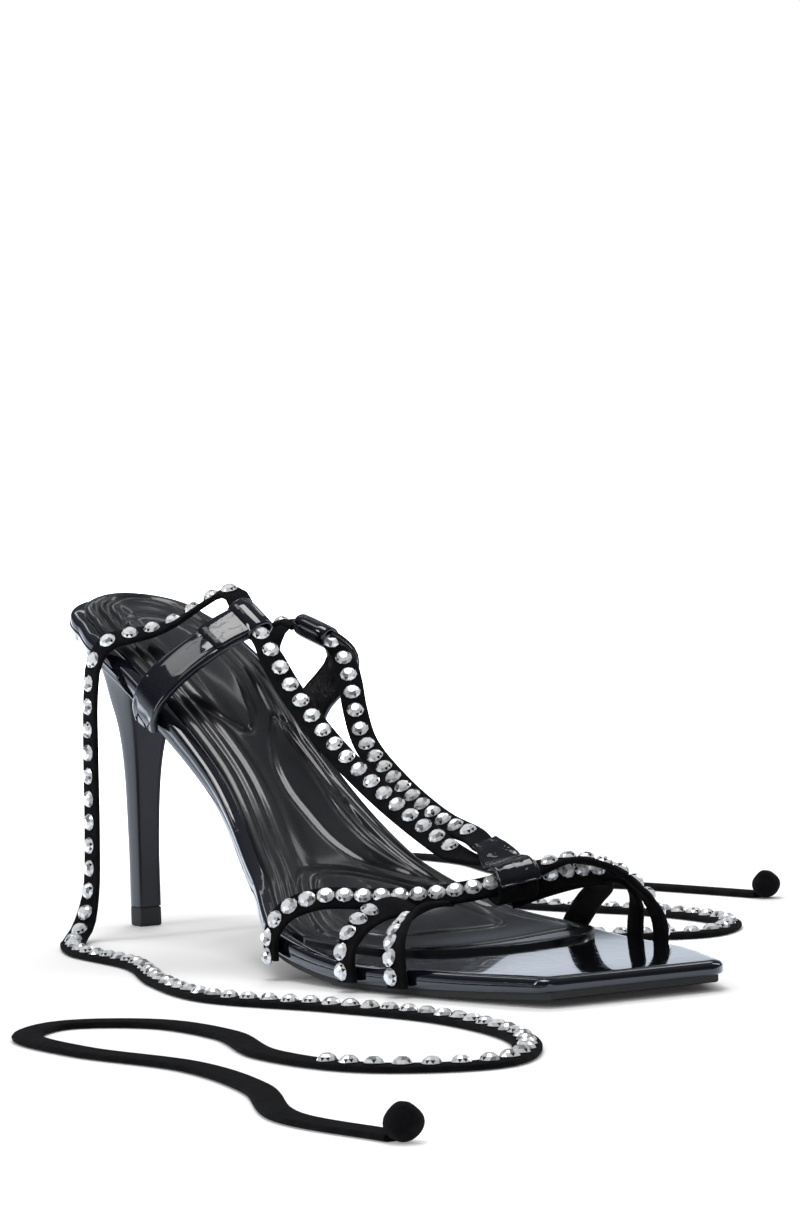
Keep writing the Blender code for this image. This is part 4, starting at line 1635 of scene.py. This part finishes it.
@dataclass
class Heel:
    """The slim covered heel and the block under it."""

    # The top lift's rings, by their height and how far they stand out past the stem's foot
    lift_rings: Pairs = ((0.0, -0.25), (0.25, -0.04), (0.5, 0.0), (4.4, 0.0), (4.6, -0.08), (4.95, -0.5))
    flare_shares: tuple[float, ...] = (0.4, 0.75, 1.0)
    flare_rise: float = 0.8
    flare_spread: float = 1.3
    seat_front: float = 38.0
    seat_back: float = 2.0
    seat_x: float = 20.0
    seat_inset: float = 2.2
    seat_gap: float = 0.05
    levels: tuple[HeelLevel, ...] = (
        HeelLevel(4.9, 8.0, 15.5, 3.0), HeelLevel(22.0, 8.1, 15.8, 3.1), HeelLevel(40.0, 7.8, 17.2, 3.9),
        HeelLevel(50.0, 7.0, 19.2, 5.4), HeelLevel(57.0, 5.6, 22.0, 7.6),
    )
    half_section: Pairs = (
        (0.0, 0.3), (0.0, 0.62), (0.0, 0.9), (0.02, 0.98), (0.06, 1.0), (0.2, 1.0), (0.35, 0.995),
        (0.5, 0.97), (0.62, 0.925), (0.73, 0.845), (0.82, 0.74), (0.9, 0.58), (0.95, 0.42), (0.985, 0.23),
    )

    def ring(self, back: float, front: float, half: float, height: Callable[[float], float]) -> np.ndarray:
        """A ring round the heel, with a flat front and a round back.

        Args:
            back: The ring's back.
            front: Its front.
            half: Half its width.
            height: Gives the height at each x.

        Returns:
            Rows of x, y and z.
        """
        side = [(front - (front - back) * along, half * out) for along, out in self.half_section]
        ring = [(x, -y, height(x)) for x, y in side] + [(back, 0.0, height(back))]
        return np.array(ring + [(x, y, height(x)) for x, y in reversed(side)])

    def key_rings(self) -> list[np.ndarray]:
        """The rings that give the heel its shape, from its foot to the seat.

        Returns:
            The rings.
        """
        rings = [self.ring(v.back, v.front, v.half_width, lambda x, z=v.z: z) for v in self.levels]
        stem = self.levels[-1]
        half = LAST.edge(self.seat_x, Side.INNER) - self.seat_inset
        for share in self.flare_shares:
            under = share**self.flare_rise

            def height(x: float, under: float = under) -> float:
                """The seat's underside, reached as the heel widens."""
                return stem.z + (float(LAST.bottom(x)) - self.seat_gap - stem.z) * under

            rings.append(
                self.ring(
                    stem.back + (self.seat_back - stem.back) * share,
                    stem.front + (self.seat_front - stem.front) * share,
                    stem.half_width + (half - stem.half_width) * share**self.flare_spread,
                    height,
                )
            )
        return rings

    def make_stem(self) -> Piece:
        """The covered heel, drawn from its foot up to the flared seat.

        Returns:
            The piece.
        """
        keys = np.array(self.key_rings())
        lines = [smooth_route(keys[:, i], 1.6) for i in range(keys.shape[1])]
        count = max(len(line) for line in lines)
        even = []
        for line in lines:
            places = np.linspace(0, len(line) - 1, count)
            even.append(read_off(places, np.arange(len(line)), line))
        rings = np.array(even).transpose(1, 0, 2)
        made = extrude_rings("covered_heel", list(rings), 32.0)
        return dress(made, HEEL_PATENT, ("heel",))

    def make_lift(self) -> Piece:
        """The top lift with a softened foot.

        Returns:
            The piece.
        """
        first = self.levels[0]
        rings = [
            self.ring(first.back - grow, first.front + grow, first.half_width + grow, lambda x, z=z: z)
            for z, grow in self.lift_rings
        ]
        made = extrude_rings("top_lift_block", rings, 32.0)
        return dress(made, LIFT_RUBBER, ("top_lift",))

    def build(self) -> list[Piece]:
        """Makes the heel and its lift."""
        return [self.make_stem(), self.make_lift()]


# Stones


@dataclass
class StoneSetter:
    """Cuts one stone and sets copies of it along straps."""

    diameter: float = 4.15
    height: float = 1.5
    pitch: float = 5.6
    facets: int = 10
    foot: float = 0.94
    # The stone's rings over its foot, by their size, their height and their turn in half facets
    rings: Triples = ((1.0, 0.2, 0.0), (0.78, 0.66, 1.0), (0.44, 1.0, 0.0))
    # The heights between which the lower row of facets lies, and how level the table is
    lower_row: tuple[float, float] = (0.15, 0.7)
    table_level: float = 0.96
    # The facet tones are painted reflections standing in for sparkle, with a painted highlight on the table,
    # painted shade on the girdle and a faint blue tint over all of them
    tones: tuple[float, ...] = (0.04, 0.3, 0.7, 1.0, 1.0, 1.0)
    painted_girdle_shade: float = 0.05
    painted_table_highlight: float = 1.0
    tint: tuple[float, float, float] = (0.97, 0.985, 1.0)
    sunk: float = 0.15
    tilt: float = 2.5
    seed: int = 7
    pattern: Piece | None = None

    def cut(self) -> Piece:
        """One stone: girdle, two rows of facets and table, each facet toned as a painted reflection or shade.

        Returns:
            The piece.
        """
        clear_selection()
        tall = self.height * MM
        bpy.ops.mesh.primitive_circle_add(
            vertices=self.facets, radius=self.diameter / 2 * MM * self.foot, fill_type="NGON"
        )
        made = bpy.context.object
        made.name = "stone_pattern"
        open_mesh()
        wide, low = self.foot, 0.0
        for size, level, spun in self.rings:
            up = (0.0, 0.0, (level - low) * tall)
            bpy.ops.mesh.extrude_region_move(TRANSFORM_OT_translate={"value": up})
            bpy.ops.transform.resize(value=(size / wide, size / wide, 1.0))
            if spun:
                turn = spun * math.pi / self.facets
                middle = (0.0, 0.0, level * tall)
                bpy.ops.transform.rotate(value=turn, orient_axis="Z", center_override=middle)
            wide, low = size, level
        bpy.ops.mesh.select_all(action="SELECT")
        bpy.ops.mesh.normals_make_consistent(inside=False)
        bpy.ops.mesh.select_all(action="DESELECT")
        work = bmesh.from_edit_mesh(made.data)
        for face in work.faces:
            levels = [vert.co.z / tall for vert in face.verts]
            face.select_set(min(levels) > self.lower_row[0] and max(levels) < self.lower_row[1])
        bmesh.update_edit_mesh(made.data)
        bpy.ops.mesh.quads_convert_to_tris(quad_method="FIXED", ngon_method="BEAUTY")
        bpy.ops.object.mode_set(mode="OBJECT")
        bpy.ops.object.shade_flat()
        self.paint(made)
        self.pattern = made
        return made

    def paint(self, made: Piece) -> None:
        """Gives each facet a painted reflection tone, dealing out each row's tones from the same side in
        every run.

        Args:
            made: The stone.
        """
        tall = self.height * MM
        tones = np.random.default_rng(self.seed)
        rows: dict[float, list[float]] = {}
        for face in made.data.polygons:
            rows.setdefault(round(face.center.z / tall, 2), []).append(float(tones.choice(self.tones)))
        layer = made.data.attributes.new(CRYSTAL.attribute, "FLOAT_COLOR", "CORNER")
        for face in sorted(made.data.polygons, key=lambda f: [round(v / tall, 2) for v in f.center]):
            tone = rows[round(face.center.z / tall, 2)].pop(0)
            # Painted shade on the girdle and a painted highlight on the table
            if face.center.z < self.lower_row[0] * tall:
                tone = self.painted_girdle_shade
            elif face.normal.z > self.table_level:
                tone = self.painted_table_highlight
            for corner in face.loop_indices:
                layer.data[corner].color = (*(tone * part for part in self.tint), 1.0)

    def set_row(self, name: str, seats: Sequence[Station]) -> Piece:
        """Sets stones on seats.

        Args:
            name: The piece's name.
            seats: The place, directions and outer face of each stone's seat.

        Returns:
            The stones as one piece.
        """
        pattern = self.pattern or self.cut()
        turns = np.random.default_rng(self.seed + len(name))
        copies = []
        for seat in seats:
            copy = pattern.copy()
            copy.data = pattern.data.copy()
            bpy.context.scene.collection.objects.link(copy)
            spin = Matrix.Rotation(float(turns.uniform(0, math.tau)), 4, "Z")
            tilt = Matrix.Rotation(math.radians(float(turns.normal(0, self.tilt))), 4, "X")
            place = world(seat.place - seat.face * self.sunk)
            copy.matrix_world = placed(seat.ahead, -seat.across, seat.face, place) @ tilt @ spin
            copies.append(copy)
        return dress(join_pieces(name, copies), CRYSTAL)

    def seats(
        self,
        made: Sequence[Station],
        thick: float,
        start: float,
        end: float,
        shift: float = 0.0,
        pitch: float | None = None,
    ) -> list[Station]:
        """Evenly spaced seats on a strap's outer face.

        Args:
            made: The strap's stations.
            thick: The strap's thickness.
            start: The length before the first stone.
            end: The length at which the last stone may sit.
            shift: How far the row lies off the middle, across.
            pitch: The step between stones, if it isn't the usual one.

        Returns:
            The seats.
        """
        walked = walked_lengths(made)
        pitch = pitch or self.pitch
        count = int((min(end, walked[-1]) - start) / pitch + 1e-6) + 1
        rows = np.array([np.concatenate(s) for s in made])
        seats = []
        for length in start + np.arange(count) * pitch:
            row = read_off(length, walked, rows)
            ahead, face = unit(row[3:6]), unit(row[9:12])
            across = np.cross(ahead, face)
            seats.append(Station(row[:3] + across * shift + face * thick / 2, ahead, across, face))
        return seats

    def put_away(self) -> None:
        """Removes the pattern once all copies are set."""
        if self.pattern is not None:
            bpy.data.objects.remove(self.pattern, do_unlink=True)
            self.pattern = None


# Vamp straps and keeper


# The vamp straps' routes, each from the board or from under the keeper outwards, and the stretches of each
# that carry stones, by where they start and end along it and how far they lie off its middle
VAMP_ROUTES: dict[str, Rows] = {
    "rear": (
        (133.6, Side.OUTER, 4.6), (134.0, Side.OUTER, 10.2), (135.8, -35.0, 14.8, 0.32, -0.78, 0.54),
        (140.4, -29.2, 17.7, 0.49, -0.53, 0.69), (148.0, -18.6, 17.5, 0.53, -0.37, 0.76),
        (155.0, -8.4, 17.7, 0.55, -0.36, 0.75), (162.0, 2.6, 19.4, 0.56, -0.32, 0.76),
        (167.0, 12.0, 22.9, 0.4, -0.1, 0.9), (170.4, 18.8, 24.4, -0.08, 0.06, 0.99),
        (173.4, 26.4, 22.6, 0.12, 0.5, 0.86), (175.6, 32.4, 18.2, 0.3, 0.75, 0.58), (177.6, Side.INNER, 10.4),
        (178.0, Side.INNER, 2.6),
    ),
    "middle_outer": (
        (164.8, Side.OUTER, 2.2), (164.6, Side.OUTER, 8.6), (163.8, -34.0, 13.0, 0.4, -0.8, 0.42),
        (161.2, -27.2, 15.9, 0.62, -0.6, 0.5), (157.0, -18.2, 16.6, 0.72, -0.5, 0.48),
        (150.6, -11.0, 16.0, 0.72, -0.46, 0.52),
    ),
    "front_outer": (
        (180.8, Side.OUTER, 2.0), (180.4, Side.OUTER, 8.4), (177.0, -31.8, 12.6, 0.1, -0.9, 0.4),
        (169.2, -22.8, 15.6, -0.3, -0.7, 0.62), (162.0, -14.0, 16.2, 0.1, -0.55, 0.8),
        (154.8, -5.4, 16.0, 0.5, -0.45, 0.72),
    ),
    "middle_inner": (
        (160.6, 4.6, 17.6, 0.75, -0.4, 0.52), (164.4, 8.4, 19.0, 0.75, -0.38, 0.52),
        (168.0, 14.4, 20.8, 0.75, -0.35, 0.55), (168.4, 24.0, 21.0, 0.72, -0.1, 0.66),
        (169.6, 32.2, 19.9, 0.55, 0.45, 0.7), (169.0, 37.2, 14.2, 0.3, 0.9, 0.3), (167.0, Side.INNER, 8.6),
        (166.4, Side.INNER, 2.6),
    ),
    "front_inner": (
        (161.6, 8.0, 16.2, 0.6, -0.3, 0.74), (165.6, 16.6, 18.6, 0.5, 0.0, 0.86),
        (166.8, 25.0, 19.0, 0.1, 0.3, 0.94), (163.6, 31.6, 17.6, -0.3, 0.5, 0.8),
        (155.2, 34.4, 13.4, -0.37, 0.55, 0.75), (148.6, 36.3, 9.4, -0.3, 0.8, 0.5), (146.4, Side.INNER, 5.8),
        (146.0, Side.INNER, 3.4),
    ),
}
VAMP_STONES: dict[str, Triples] = {
    "rear": ((0.8, 59.0, -0.2), (72.0, 108.0, 0.0)),
    "middle_outer": ((2.4, 21.0, -0.9),),
    "front_outer": ((2.6, 26.0, -0.9),),
    "middle_inner": ((13.0, 38.0, -0.6),),
    "front_inner": (),
}


@dataclass
class Vamp:
    """The suede straps that cross over the forefoot."""

    setter: StoneSetter
    width: float = 6.0
    thick: float = 1.5
    step: float = 1.4
    pitch: float = 4.1

    def build(self) -> list[Piece]:
        """Makes the straps and sets their stones.

        Returns:
            The pieces.
        """
        section = strap_section(self.width, self.thick)
        pieces, seats = [], []
        for name, rows in VAMP_ROUTES.items():
            made = strap_stations(read_stops(rows, self.thick), self.step)
            strap = strap_body("vamp_strap_" + name, made, section)
            pieces.append(dress(strap, SUEDE, ("vamp_straps",)))
            for start, end, shift in VAMP_STONES[name]:
                seats += self.setter.seats(made, self.thick, start, end, shift, self.pitch)
        pieces.append(self.setter.set_row("vamp_stones", seats))
        return pieces


@dataclass
class Keeper:
    """The folded patent tab that holds the crossing straps and the ties' ends."""

    width: float = 9.0
    narrow: float = 6.4
    thick: float = 1.2
    bead: float = 0.34
    across: tuple[float, float, float] = (-0.41, -0.89, -0.19)
    taper: float = 0.45
    fold: Triples = (
        (155.8, 5.9, 28.6), (159.0, 5.6, 27.4), (162.2, 5.2, 25.7), (164.4, 4.9, 24.8), (166.6, 4.6, 24.9),
        (168.8, 4.4, 24.4), (170.3, 4.3, 23.0), (171.1, 4.3, 21.7), (171.35, 4.35, 20.7),
    )
    backing: Triples = (
        (170.2, 4.3, 22.0), (170.5, 4.35, 20.4), (170.4, 4.5, 18.6), (169.6, 4.8, 17.3), (168.0, 5.1, 16.9),
        (165.8, 5.4, 17.4), (163.6, 5.7, 18.4),
    )

    def build(self) -> list[Piece]:
        """Makes the folded tab, its suede backing and its rim.

        Returns:
            The pieces.
        """

        def section(share: float) -> Pairs:
            """The tab's section, wider towards its fold."""
            grown = eased(min(1.0, share / self.taper))
            return rolled_section(self.narrow + (self.width - self.narrow) * grown, self.thick)

        tab = strap_body("keeper_tab", self.laid(self.fold, 0.5), section)
        under = strap_section(self.width, self.thick)
        back = strap_body("keeper_backing", self.laid(self.backing, 0.6), under)
        dress(tab, CREASED_PATENT, ("keeper",))
        return [tab, dress(back, SUEDE), self.make_rim()]

    def laid(self, places: Triples, step: float) -> list[Station]:
        """The stations at even steps along the tab's places."""
        return strap_stations(laid_stops([(*place, *self.across) for place in places]), step)

    def make_rim(self) -> Piece:
        """The fine bead round the front of the fold.

        Returns:
            The piece.
        """
        wide = -unit(np.array(self.across)) * (self.width / 2 - 0.1)
        front, low = np.array(self.fold[-3]), np.array(self.fold[-1]) + np.array([0.35, 0.0, 0.0])
        line = [low - wide, low - wide * 0.3, low + wide * 0.4, low + wide * 0.9]
        line += [low + wide + (front - low) * 0.12]
        line += [front + wide * 1.04, np.array(self.fold[-4]) + wide * 1.04]
        made = strap_stations([Stop(*place, 0.8, -0.5, 0.3) for place in line], 0.5)
        return dress(strap_body("keeper_rim", made, bead_section(self.bead), 60.0), PATENT)


# Side straps


@dataclass
class SideStrap:
    """A patent strap on the board's side that ends in a loop for a tie."""

    side: Side
    stops: tuple[Stop, ...]
    width: float = 10.6
    thick: float = 1.9
    hole: float = 4.8
    clear: float = 3.2
    wall: float = 1.1
    loop_seat: float = 0.35
    loop_swell: float = 1.05
    flap: float = 9.0
    # The flap's thickness and how much narrower than the strap it is, at its end and what is added past it
    flap_thick: tuple[float, float] = (0.5, 0.8)
    flap_narrow: tuple[float, float] = (1.8, -0.8)
    flap_round: float = 0.12
    lining_thick: float = 0.8
    lining_narrow: float = 2.2
    laid_off: float = 0.2
    loop_across: tuple[float, float, float] | None = None

    def make_flap(self, name: str, made: Sequence[Station]) -> Piece:
        """The strap's end, folded back over its outer face behind the loop.

        Args:
            name: The piece's name.
            made: The strap's stations.

        Returns:
            The piece.
        """
        walked = walked_lengths(made)
        top = [s for s, w in zip(made, walked) if w >= walked[-1] - self.flap]
        lifted = [s._replace(place=s.place + s.face * (self.thick / 2 + self.laid_off)) for s in top]

        def section(share: float) -> Pairs:
            """The flap's section, rounded off at its end.

            Args:
                share: The share of the length.

            Returns:
                Pairs across and out, once round.
            """
            full = math.sqrt(1 - (1 - min(1.0, share / self.flap_round)) ** 2)
            narrow, thick = (end + more * full for end, more in (self.flap_narrow, self.flap_thick))
            return strap_section(self.width - narrow, thick, 0.05)

        return strap_body(name, lifted, section)

    def make_lining(self, name: str, made: Sequence[Station]) -> Piece:
        """The leather lining on the strap's inner face.

        Args:
            name: The piece's name.
            made: The strap's stations.

        Returns:
            The piece.
        """
        section = strap_section(self.width - self.lining_narrow, self.lining_thick)
        laid = [s._replace(place=s.place - s.face * (self.thick / 2 - self.laid_off)) for s in made[1:-1]]
        return strap_body(name, laid, section)

    def loop_outline(self, grow: float) -> Pairs:
        """The loop's outline, seen along the tie, as pairs along and out."""
        turns = [math.radians(a) for a in range(0, 360, 15)]
        return [((self.hole / 2 + grow) * math.cos(a), (self.clear / 2 + grow) * math.sin(a)) for a in turns]

    def make_loop(self, name: str, last: Station) -> Piece:
        """The loop, drawn out across the strap and folded back through its own bore.

        Args:
            name: The piece's name.
            last: The last station.

        Returns:
            The piece.
        """
        middle = last.place + last.ahead * (self.hole / 2 + self.wall * self.loop_seat)
        across = unit(np.array(self.loop_across)) if self.loop_across else last.across
        ahead = unit(last.ahead - across * float(last.ahead @ across))
        last = Station(middle, ahead, across, np.cross(across, ahead))
        half, lip = self.width / 2, self.wall / 2
        edge = half - lip
        lips = [(lip * math.sin(math.radians(a)), lip * math.cos(math.radians(a))) for a in (45, 90, 135)]
        path = [(-edge, 0.0), *((-edge - out, lip - up) for out, up in lips), (-edge, self.wall)]
        path += [(half * share, self.wall * self.loop_swell) for share in (-0.4, 0.4)]
        path += [(edge, self.wall)]
        path += [*((edge + out, lip + up) for out, up in lips), (edge, 0.0)]
        rings = []
        for wide, grow in path:
            outline = self.loop_outline(grow)
            rings.append([middle + last.ahead * a + last.face * b + last.across * wide for a, b in outline])
        made = extrude_rings(name, rings, 60.0)
        pick(made)
        open_mesh("FACE", "DESELECT")
        for face in bmesh.from_edit_mesh(made.data).faces:
            face.select_set(len(face.verts) > 4)
        bmesh.update_edit_mesh(made.data)
        bpy.ops.mesh.delete(type="ONLY_FACE")
        bpy.ops.mesh.select_mode(type="EDGE")
        bpy.ops.mesh.select_non_manifold()
        bpy.ops.mesh.bridge_edge_loops()
        bpy.ops.object.mode_set(mode="OBJECT")
        return finish_mesh(made, 60.0)

    def build(self) -> list[Piece]:
        """Makes the strap with its loop.

        Returns:
            The pieces.
        """
        name = "side_strap_" + self.side.label
        made = strap_stations(self.stops, 1.0)
        strap = strap_body(name + "_band", made, rolled_section(self.width, self.thick))
        loop = self.make_loop(name + "_loop", made[-1])
        flap = self.make_flap(name + "_flap", made)
        lining = self.make_lining(name + "_lining", made)
        dress(strap, PATENT, (name,))
        dress(loop, PATENT)
        dress(flap, CREASED_PATENT)
        dress(lining, CREASED_LINING)
        return [strap, loop, flap, lining]


# Ties


@dataclass
class Tie:
    """A long flat tie: its run over the instep, its free end on the floor and its ball knot."""

    side: Side
    setter: StoneSetter
    run: Rows
    through: Rows
    end: Rows
    run_stones: tuple[float, float, float]
    end_stones: tuple[float, float] = (6.0, 420.0)
    width: float = 6.0
    thick: float = 1.5
    knot: float = 7.0
    knot_grip: float = 1.6
    knot_twist: float = 0.05
    gathered: float = 4.2
    gathered_more: float = 0.3
    # The lengths before the run's end between which the tie is gathered
    gather_step: tuple[float, float] = (20.0, 12.0)

    def make_end(self) -> list[Piece]:
        """The free end with its stones and its knot.

        Returns:
            The pieces.
        """
        name = "tie_end_" + self.side.label
        floor = self.thick / 2 + FLOOR_SLACK
        made = [
            s._replace(place=s.place + np.array([0, 0, max(0.0, floor - s.place[2])]))
            for s in strap_stations(read_stops(self.end, self.thick), 3.2)
        ]
        strap = strap_body(name + "_cord", made, strap_section(self.width, self.thick))
        dress(strap, SUEDE, (name,))
        stones = self.setter.set_row(name + "_stones", self.setter.seats(made, self.thick, *self.end_stones))
        knot = self.make_knot(made[-1])
        path = [world(s.place) for s in made]
        return [strap, stones, knot]

    def make_knot(self, last: Station) -> Piece:
        """The ball knot: a closed ball with the crossing turns of the tie round it.

        Args:
            last: The last station.

        Returns:
            The piece.
        """
        name = "tie_knot_" + self.side.label
        radius = self.knot / 2
        middle = last.place + last.ahead * (radius - self.knot_grip)
        middle[2] = radius
        rings = []
        for a in (math.radians(v) for v in range(5, 180, 10)):
            along, wide = -math.cos(a) * radius, math.sin(a) * radius
            ring = []
            for b in (math.radians(v) for v in range(0, 360, 12)):
                twist = 1 + self.knot_twist * math.sin(3 * b + 2.2 * a)
                out = last.across * math.cos(b) + last.face * math.sin(b)
                ring.append(middle + last.ahead * along + out * min(wide * twist, radius))
            rings.append(ring)
        return dress(extrude_rings(name + "_ball", rings, 60.0), SUEDE, (name,))

    def make_run(self) -> list[Piece]:
        """The run over the instep, through the loop to the free end.

        Returns:
            The pieces.
        """
        name = "tie_run_" + self.side.label
        made = strap_stations(read_stops([*self.run, *self.through], self.thick), 1.6)
        total = walked_lengths(made)[-1]
        start, end = (total - length for length in self.gather_step)

        def section(share: float) -> Pairs:
            """The tie's section, gathered where it passes the loop.

            Args:
                share: The share of the length.

            Returns:
                Pairs across and out, once round.
            """
            close = float(eased(share_between(share * total, start, end)))
            wide = self.width + (self.gathered - self.width) * close
            return strap_section(wide, self.thick + self.gathered_more * close)

        strap = dress(strap_body(name + "_strap", made, section), SUEDE, (name,))
        stones = self.setter.set_row(name + "_stones", self.setter.seats(made, self.thick, *self.run_stones))
        return [strap, stones]

    def build(self) -> list[Piece]:
        """Makes the tie from its free end to the keeper."""
        return self.make_end() + self.make_run()


# Places on the side straps and the ways of their width, then the routes of the ties
OUTER_SIDE = laid_stops((
    (52.6, -20.4, 52.6, 0.85, 0.0, -0.53), (53.4, -21.3, 55.4, 0.85, 0.0, -0.53),
    (54.9, -21.0, 59.0, 0.86, 0.03, -0.51), (56.6, -18.8, 62.6, 0.88, 0.1, -0.46),
    (58.0, -15.4, 66.0, 0.9, 0.17, -0.4), (59.8, -10.2, 69.9, 0.9, 0.18, -0.4),
    (61.4, -3.8, 73.8, 0.86, 0.1, -0.5), (62.2, 0.6, 75.8, 0.79, -0.05, -0.61),
))
INNER_SIDE = laid_stops((
    (60.4, 19.6, 49.6, -0.86, -0.05, 0.5), (60.7, 20.4, 53.2, -0.88, -0.1, 0.46),
    (61.4, 22.2, 56.8, -0.9, -0.14, 0.41), (62.8, 25.0, 60.2, -0.9, -0.15, 0.4),
    (64.2, 27.2, 63.6, -0.9, -0.18, 0.38), (64.8, 27.4, 66.6, -0.91, -0.2, 0.36),
    (64.4, 25.8, 69.4, -0.92, -0.22, 0.34), (63.4, 23.9, 71.2, -0.92, -0.23, 0.33),
))
OUTER_RUN = (
    (156.0, 7.2, 24.1, 0.05, 0.0, 1.0), (150.4, 6.0, 24.3, 0.1, -0.05, 0.99),
    (144.0, 5.0, 25.7, 0.3, -0.35, 0.88), (135.6, 5.1, 28.6, 0.55, -0.5, 0.66),
    (115.8, 4.5, 37.2, 0.6, -0.5, 0.62), (95.5, 3.9, 48.4, 0.6, -0.5, 0.62),
    (80.0, 3.2, 60.2, 0.6, -0.45, 0.66), (69.4, 2.6, 71.2, 0.55, -0.37, 0.73),
)
INNER_RUN = (
    (157.0, 7.6, 26.2, 0.05, 0.0, 1.0), (151.6, 8.6, 27.0, 0.1, -0.05, 0.99),
    (144.4, 10.8, 28.8, 0.3, -0.35, 0.88), (129.6, 12.0, 31.4, 0.55, -0.5, 0.66),
    (104.3, 15.8, 39.4, 0.6, -0.5, 0.62), (87.6, 18.6, 47.6, 0.6, -0.5, 0.62),
    (81.0, 20.4, 54.9, 0.7, -0.5, 0.5), (75.4, 22.8, 61.3, 0.75, -0.5, 0.42),
    (69.6, 24.4, 67.2, 0.75, -0.45, 0.48),
)
OUTER_THROUGH = (
    (67.0, 2.75, 73.0, 0.58, -0.35, 0.73), (62.98, 3.22, 76.3, 0.59, -0.32, 0.74),
    (58.4, 3.8, 80.0, 0.59, -0.32, 0.74),
)
INNER_THROUGH = (
    (66.8, 23.1, 70.4, 0.5, -0.4, 0.75), (62.2, 22.0, 72.5, 0.3, -0.3, 0.9),
    (57.4, 20.8, 74.3, 0.3, -0.25, 0.9),
)
OUTER_END = (
    (57.0, 4.2, 80.4, 0.6, -0.3, 0.74), (53.2, 4.6, 83.0, 0.45, -0.2, 0.87),
    (48.8, 3.4, 82.8, 0.1, -0.3, 0.95), (44.6, 0.2, 79.8, -0.2, -0.4, 0.85),
    (41.0, -4.8, 76.2, 0.0, -0.3, 0.9), (38.2, -10.0, 74.2, 0.3, -0.2, 0.9),
    (36.0, -15.6, 73.2, 0.4, -0.3, 0.86), (34.4, -20.2, 72.0, 0.35, -0.65, 0.68),
    (33.2, -23.2, 67.6, 0.1, -0.95, 0.3), (32.5, -24.2, 60.0, 0.0, -1.0, 0.0),
    (32.0, -24.6, 44.0, 0.05, -1.0, 0.0), (32.0, -25.0, 26.0, 0.05, -1.0, 0.0),
    (32.2, -26.0, 12.0, 0.1, -0.95, 0.3), (33.8, -29.2, 4.2, 0.3, -0.5, 0.8), (38.4, -34.6), (58.0, -44.0),
    (92.0, -48.0), (124.0, -60.0), (156.0, -66.0), (190.0, -56.0), (224.0, -50.0), (262.0, -58.0),
    (282.0, -78.0), (270.0, -98.0), (240.0, -103.0), (208.0, -94.0), (182.0, -96.0), (170.0, -110.0),
    (180.0, -124.0), (208.0, -127.0), (242.0, -122.0), (276.0, -128.0), (310.0, -142.0), (342.0, -140.0),
)
INNER_END = (
    (56.6, 20.6, 74.6, 0.3, -0.2, 0.93), (53.4, 19.8, 75.2, 0.1, 0.0, 0.99),
    (50.2, 19.2, 74.2, -0.2, 0.1, 0.97), (46.8, 19.2, 72.2, 0.0, 0.1, 1.0),
    (43.6, 20.2, 70.8, 0.3, 0.3, 0.9), (40.8, 22.4, 69.4, 0.4, 0.6, 0.7), (39.0, 24.4, 65.4, 0.1, 0.95, 0.3),
    (37.8, 25.4, 57.6, 0.0, 1.0, 0.0), (37.0, 25.8, 42.0, 0.05, 1.0, 0.0),
    (37.0, 26.2, 26.0, 0.05, 1.0, 0.0), (37.4, 27.2, 12.0, 0.1, 0.95, 0.3), (39.4, 30.6, 4.2, 0.3, 0.5, 0.8),
    (44.4, 36.0), (66.0, 46.0), (98.0, 48.0), (128.0, 58.0), (142.0, 76.0), (128.0, 94.0), (96.0, 96.0),
    (64.0, 86.0), (30.0, 82.0), (-4.0, 92.0), (-40.0, 90.0), (-76.0, 96.0), (-96.0, 114.0), (-84.0, 134.0),
    (-54.0, 139.0), (-20.0, 130.0), (14.0, 124.0), (48.0, 132.0), (84.0, 138.0),
)


def write_sizes() -> None:
    """Updates the view layer.
    """
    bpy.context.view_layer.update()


def main() -> None:
    """Builds the sandal's looks piece by piece."""
    logging.basicConfig(level=logging.INFO, format="%(message)s")
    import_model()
    Studio().build()
    setter = StoneSetter()
    assemblies = (
        Tie(Side.OUTER, setter, OUTER_RUN, OUTER_THROUGH, OUTER_END, (14.0, 114.0, 0.6)),
        Tie(Side.INNER, setter, INNER_RUN, INNER_THROUGH, INNER_END, (16.0, 108.0, 0.0)),
        Sole(),
        Heel(),
        SideStrap(Side.OUTER, OUTER_SIDE),
        SideStrap(Side.INNER, INNER_SIDE, loop_across=(-0.92, -0.23, 0.33)),
        Vamp(setter),
        Keeper(),
    )
    for assembly in assemblies:
        made = assembly.build()
        LOG.info("%s: %d pieces", type(assembly).__name__, len(made))
    setter.put_away()
    clear_selection()
    write_sizes()


if __name__ == "__main__":
    main()
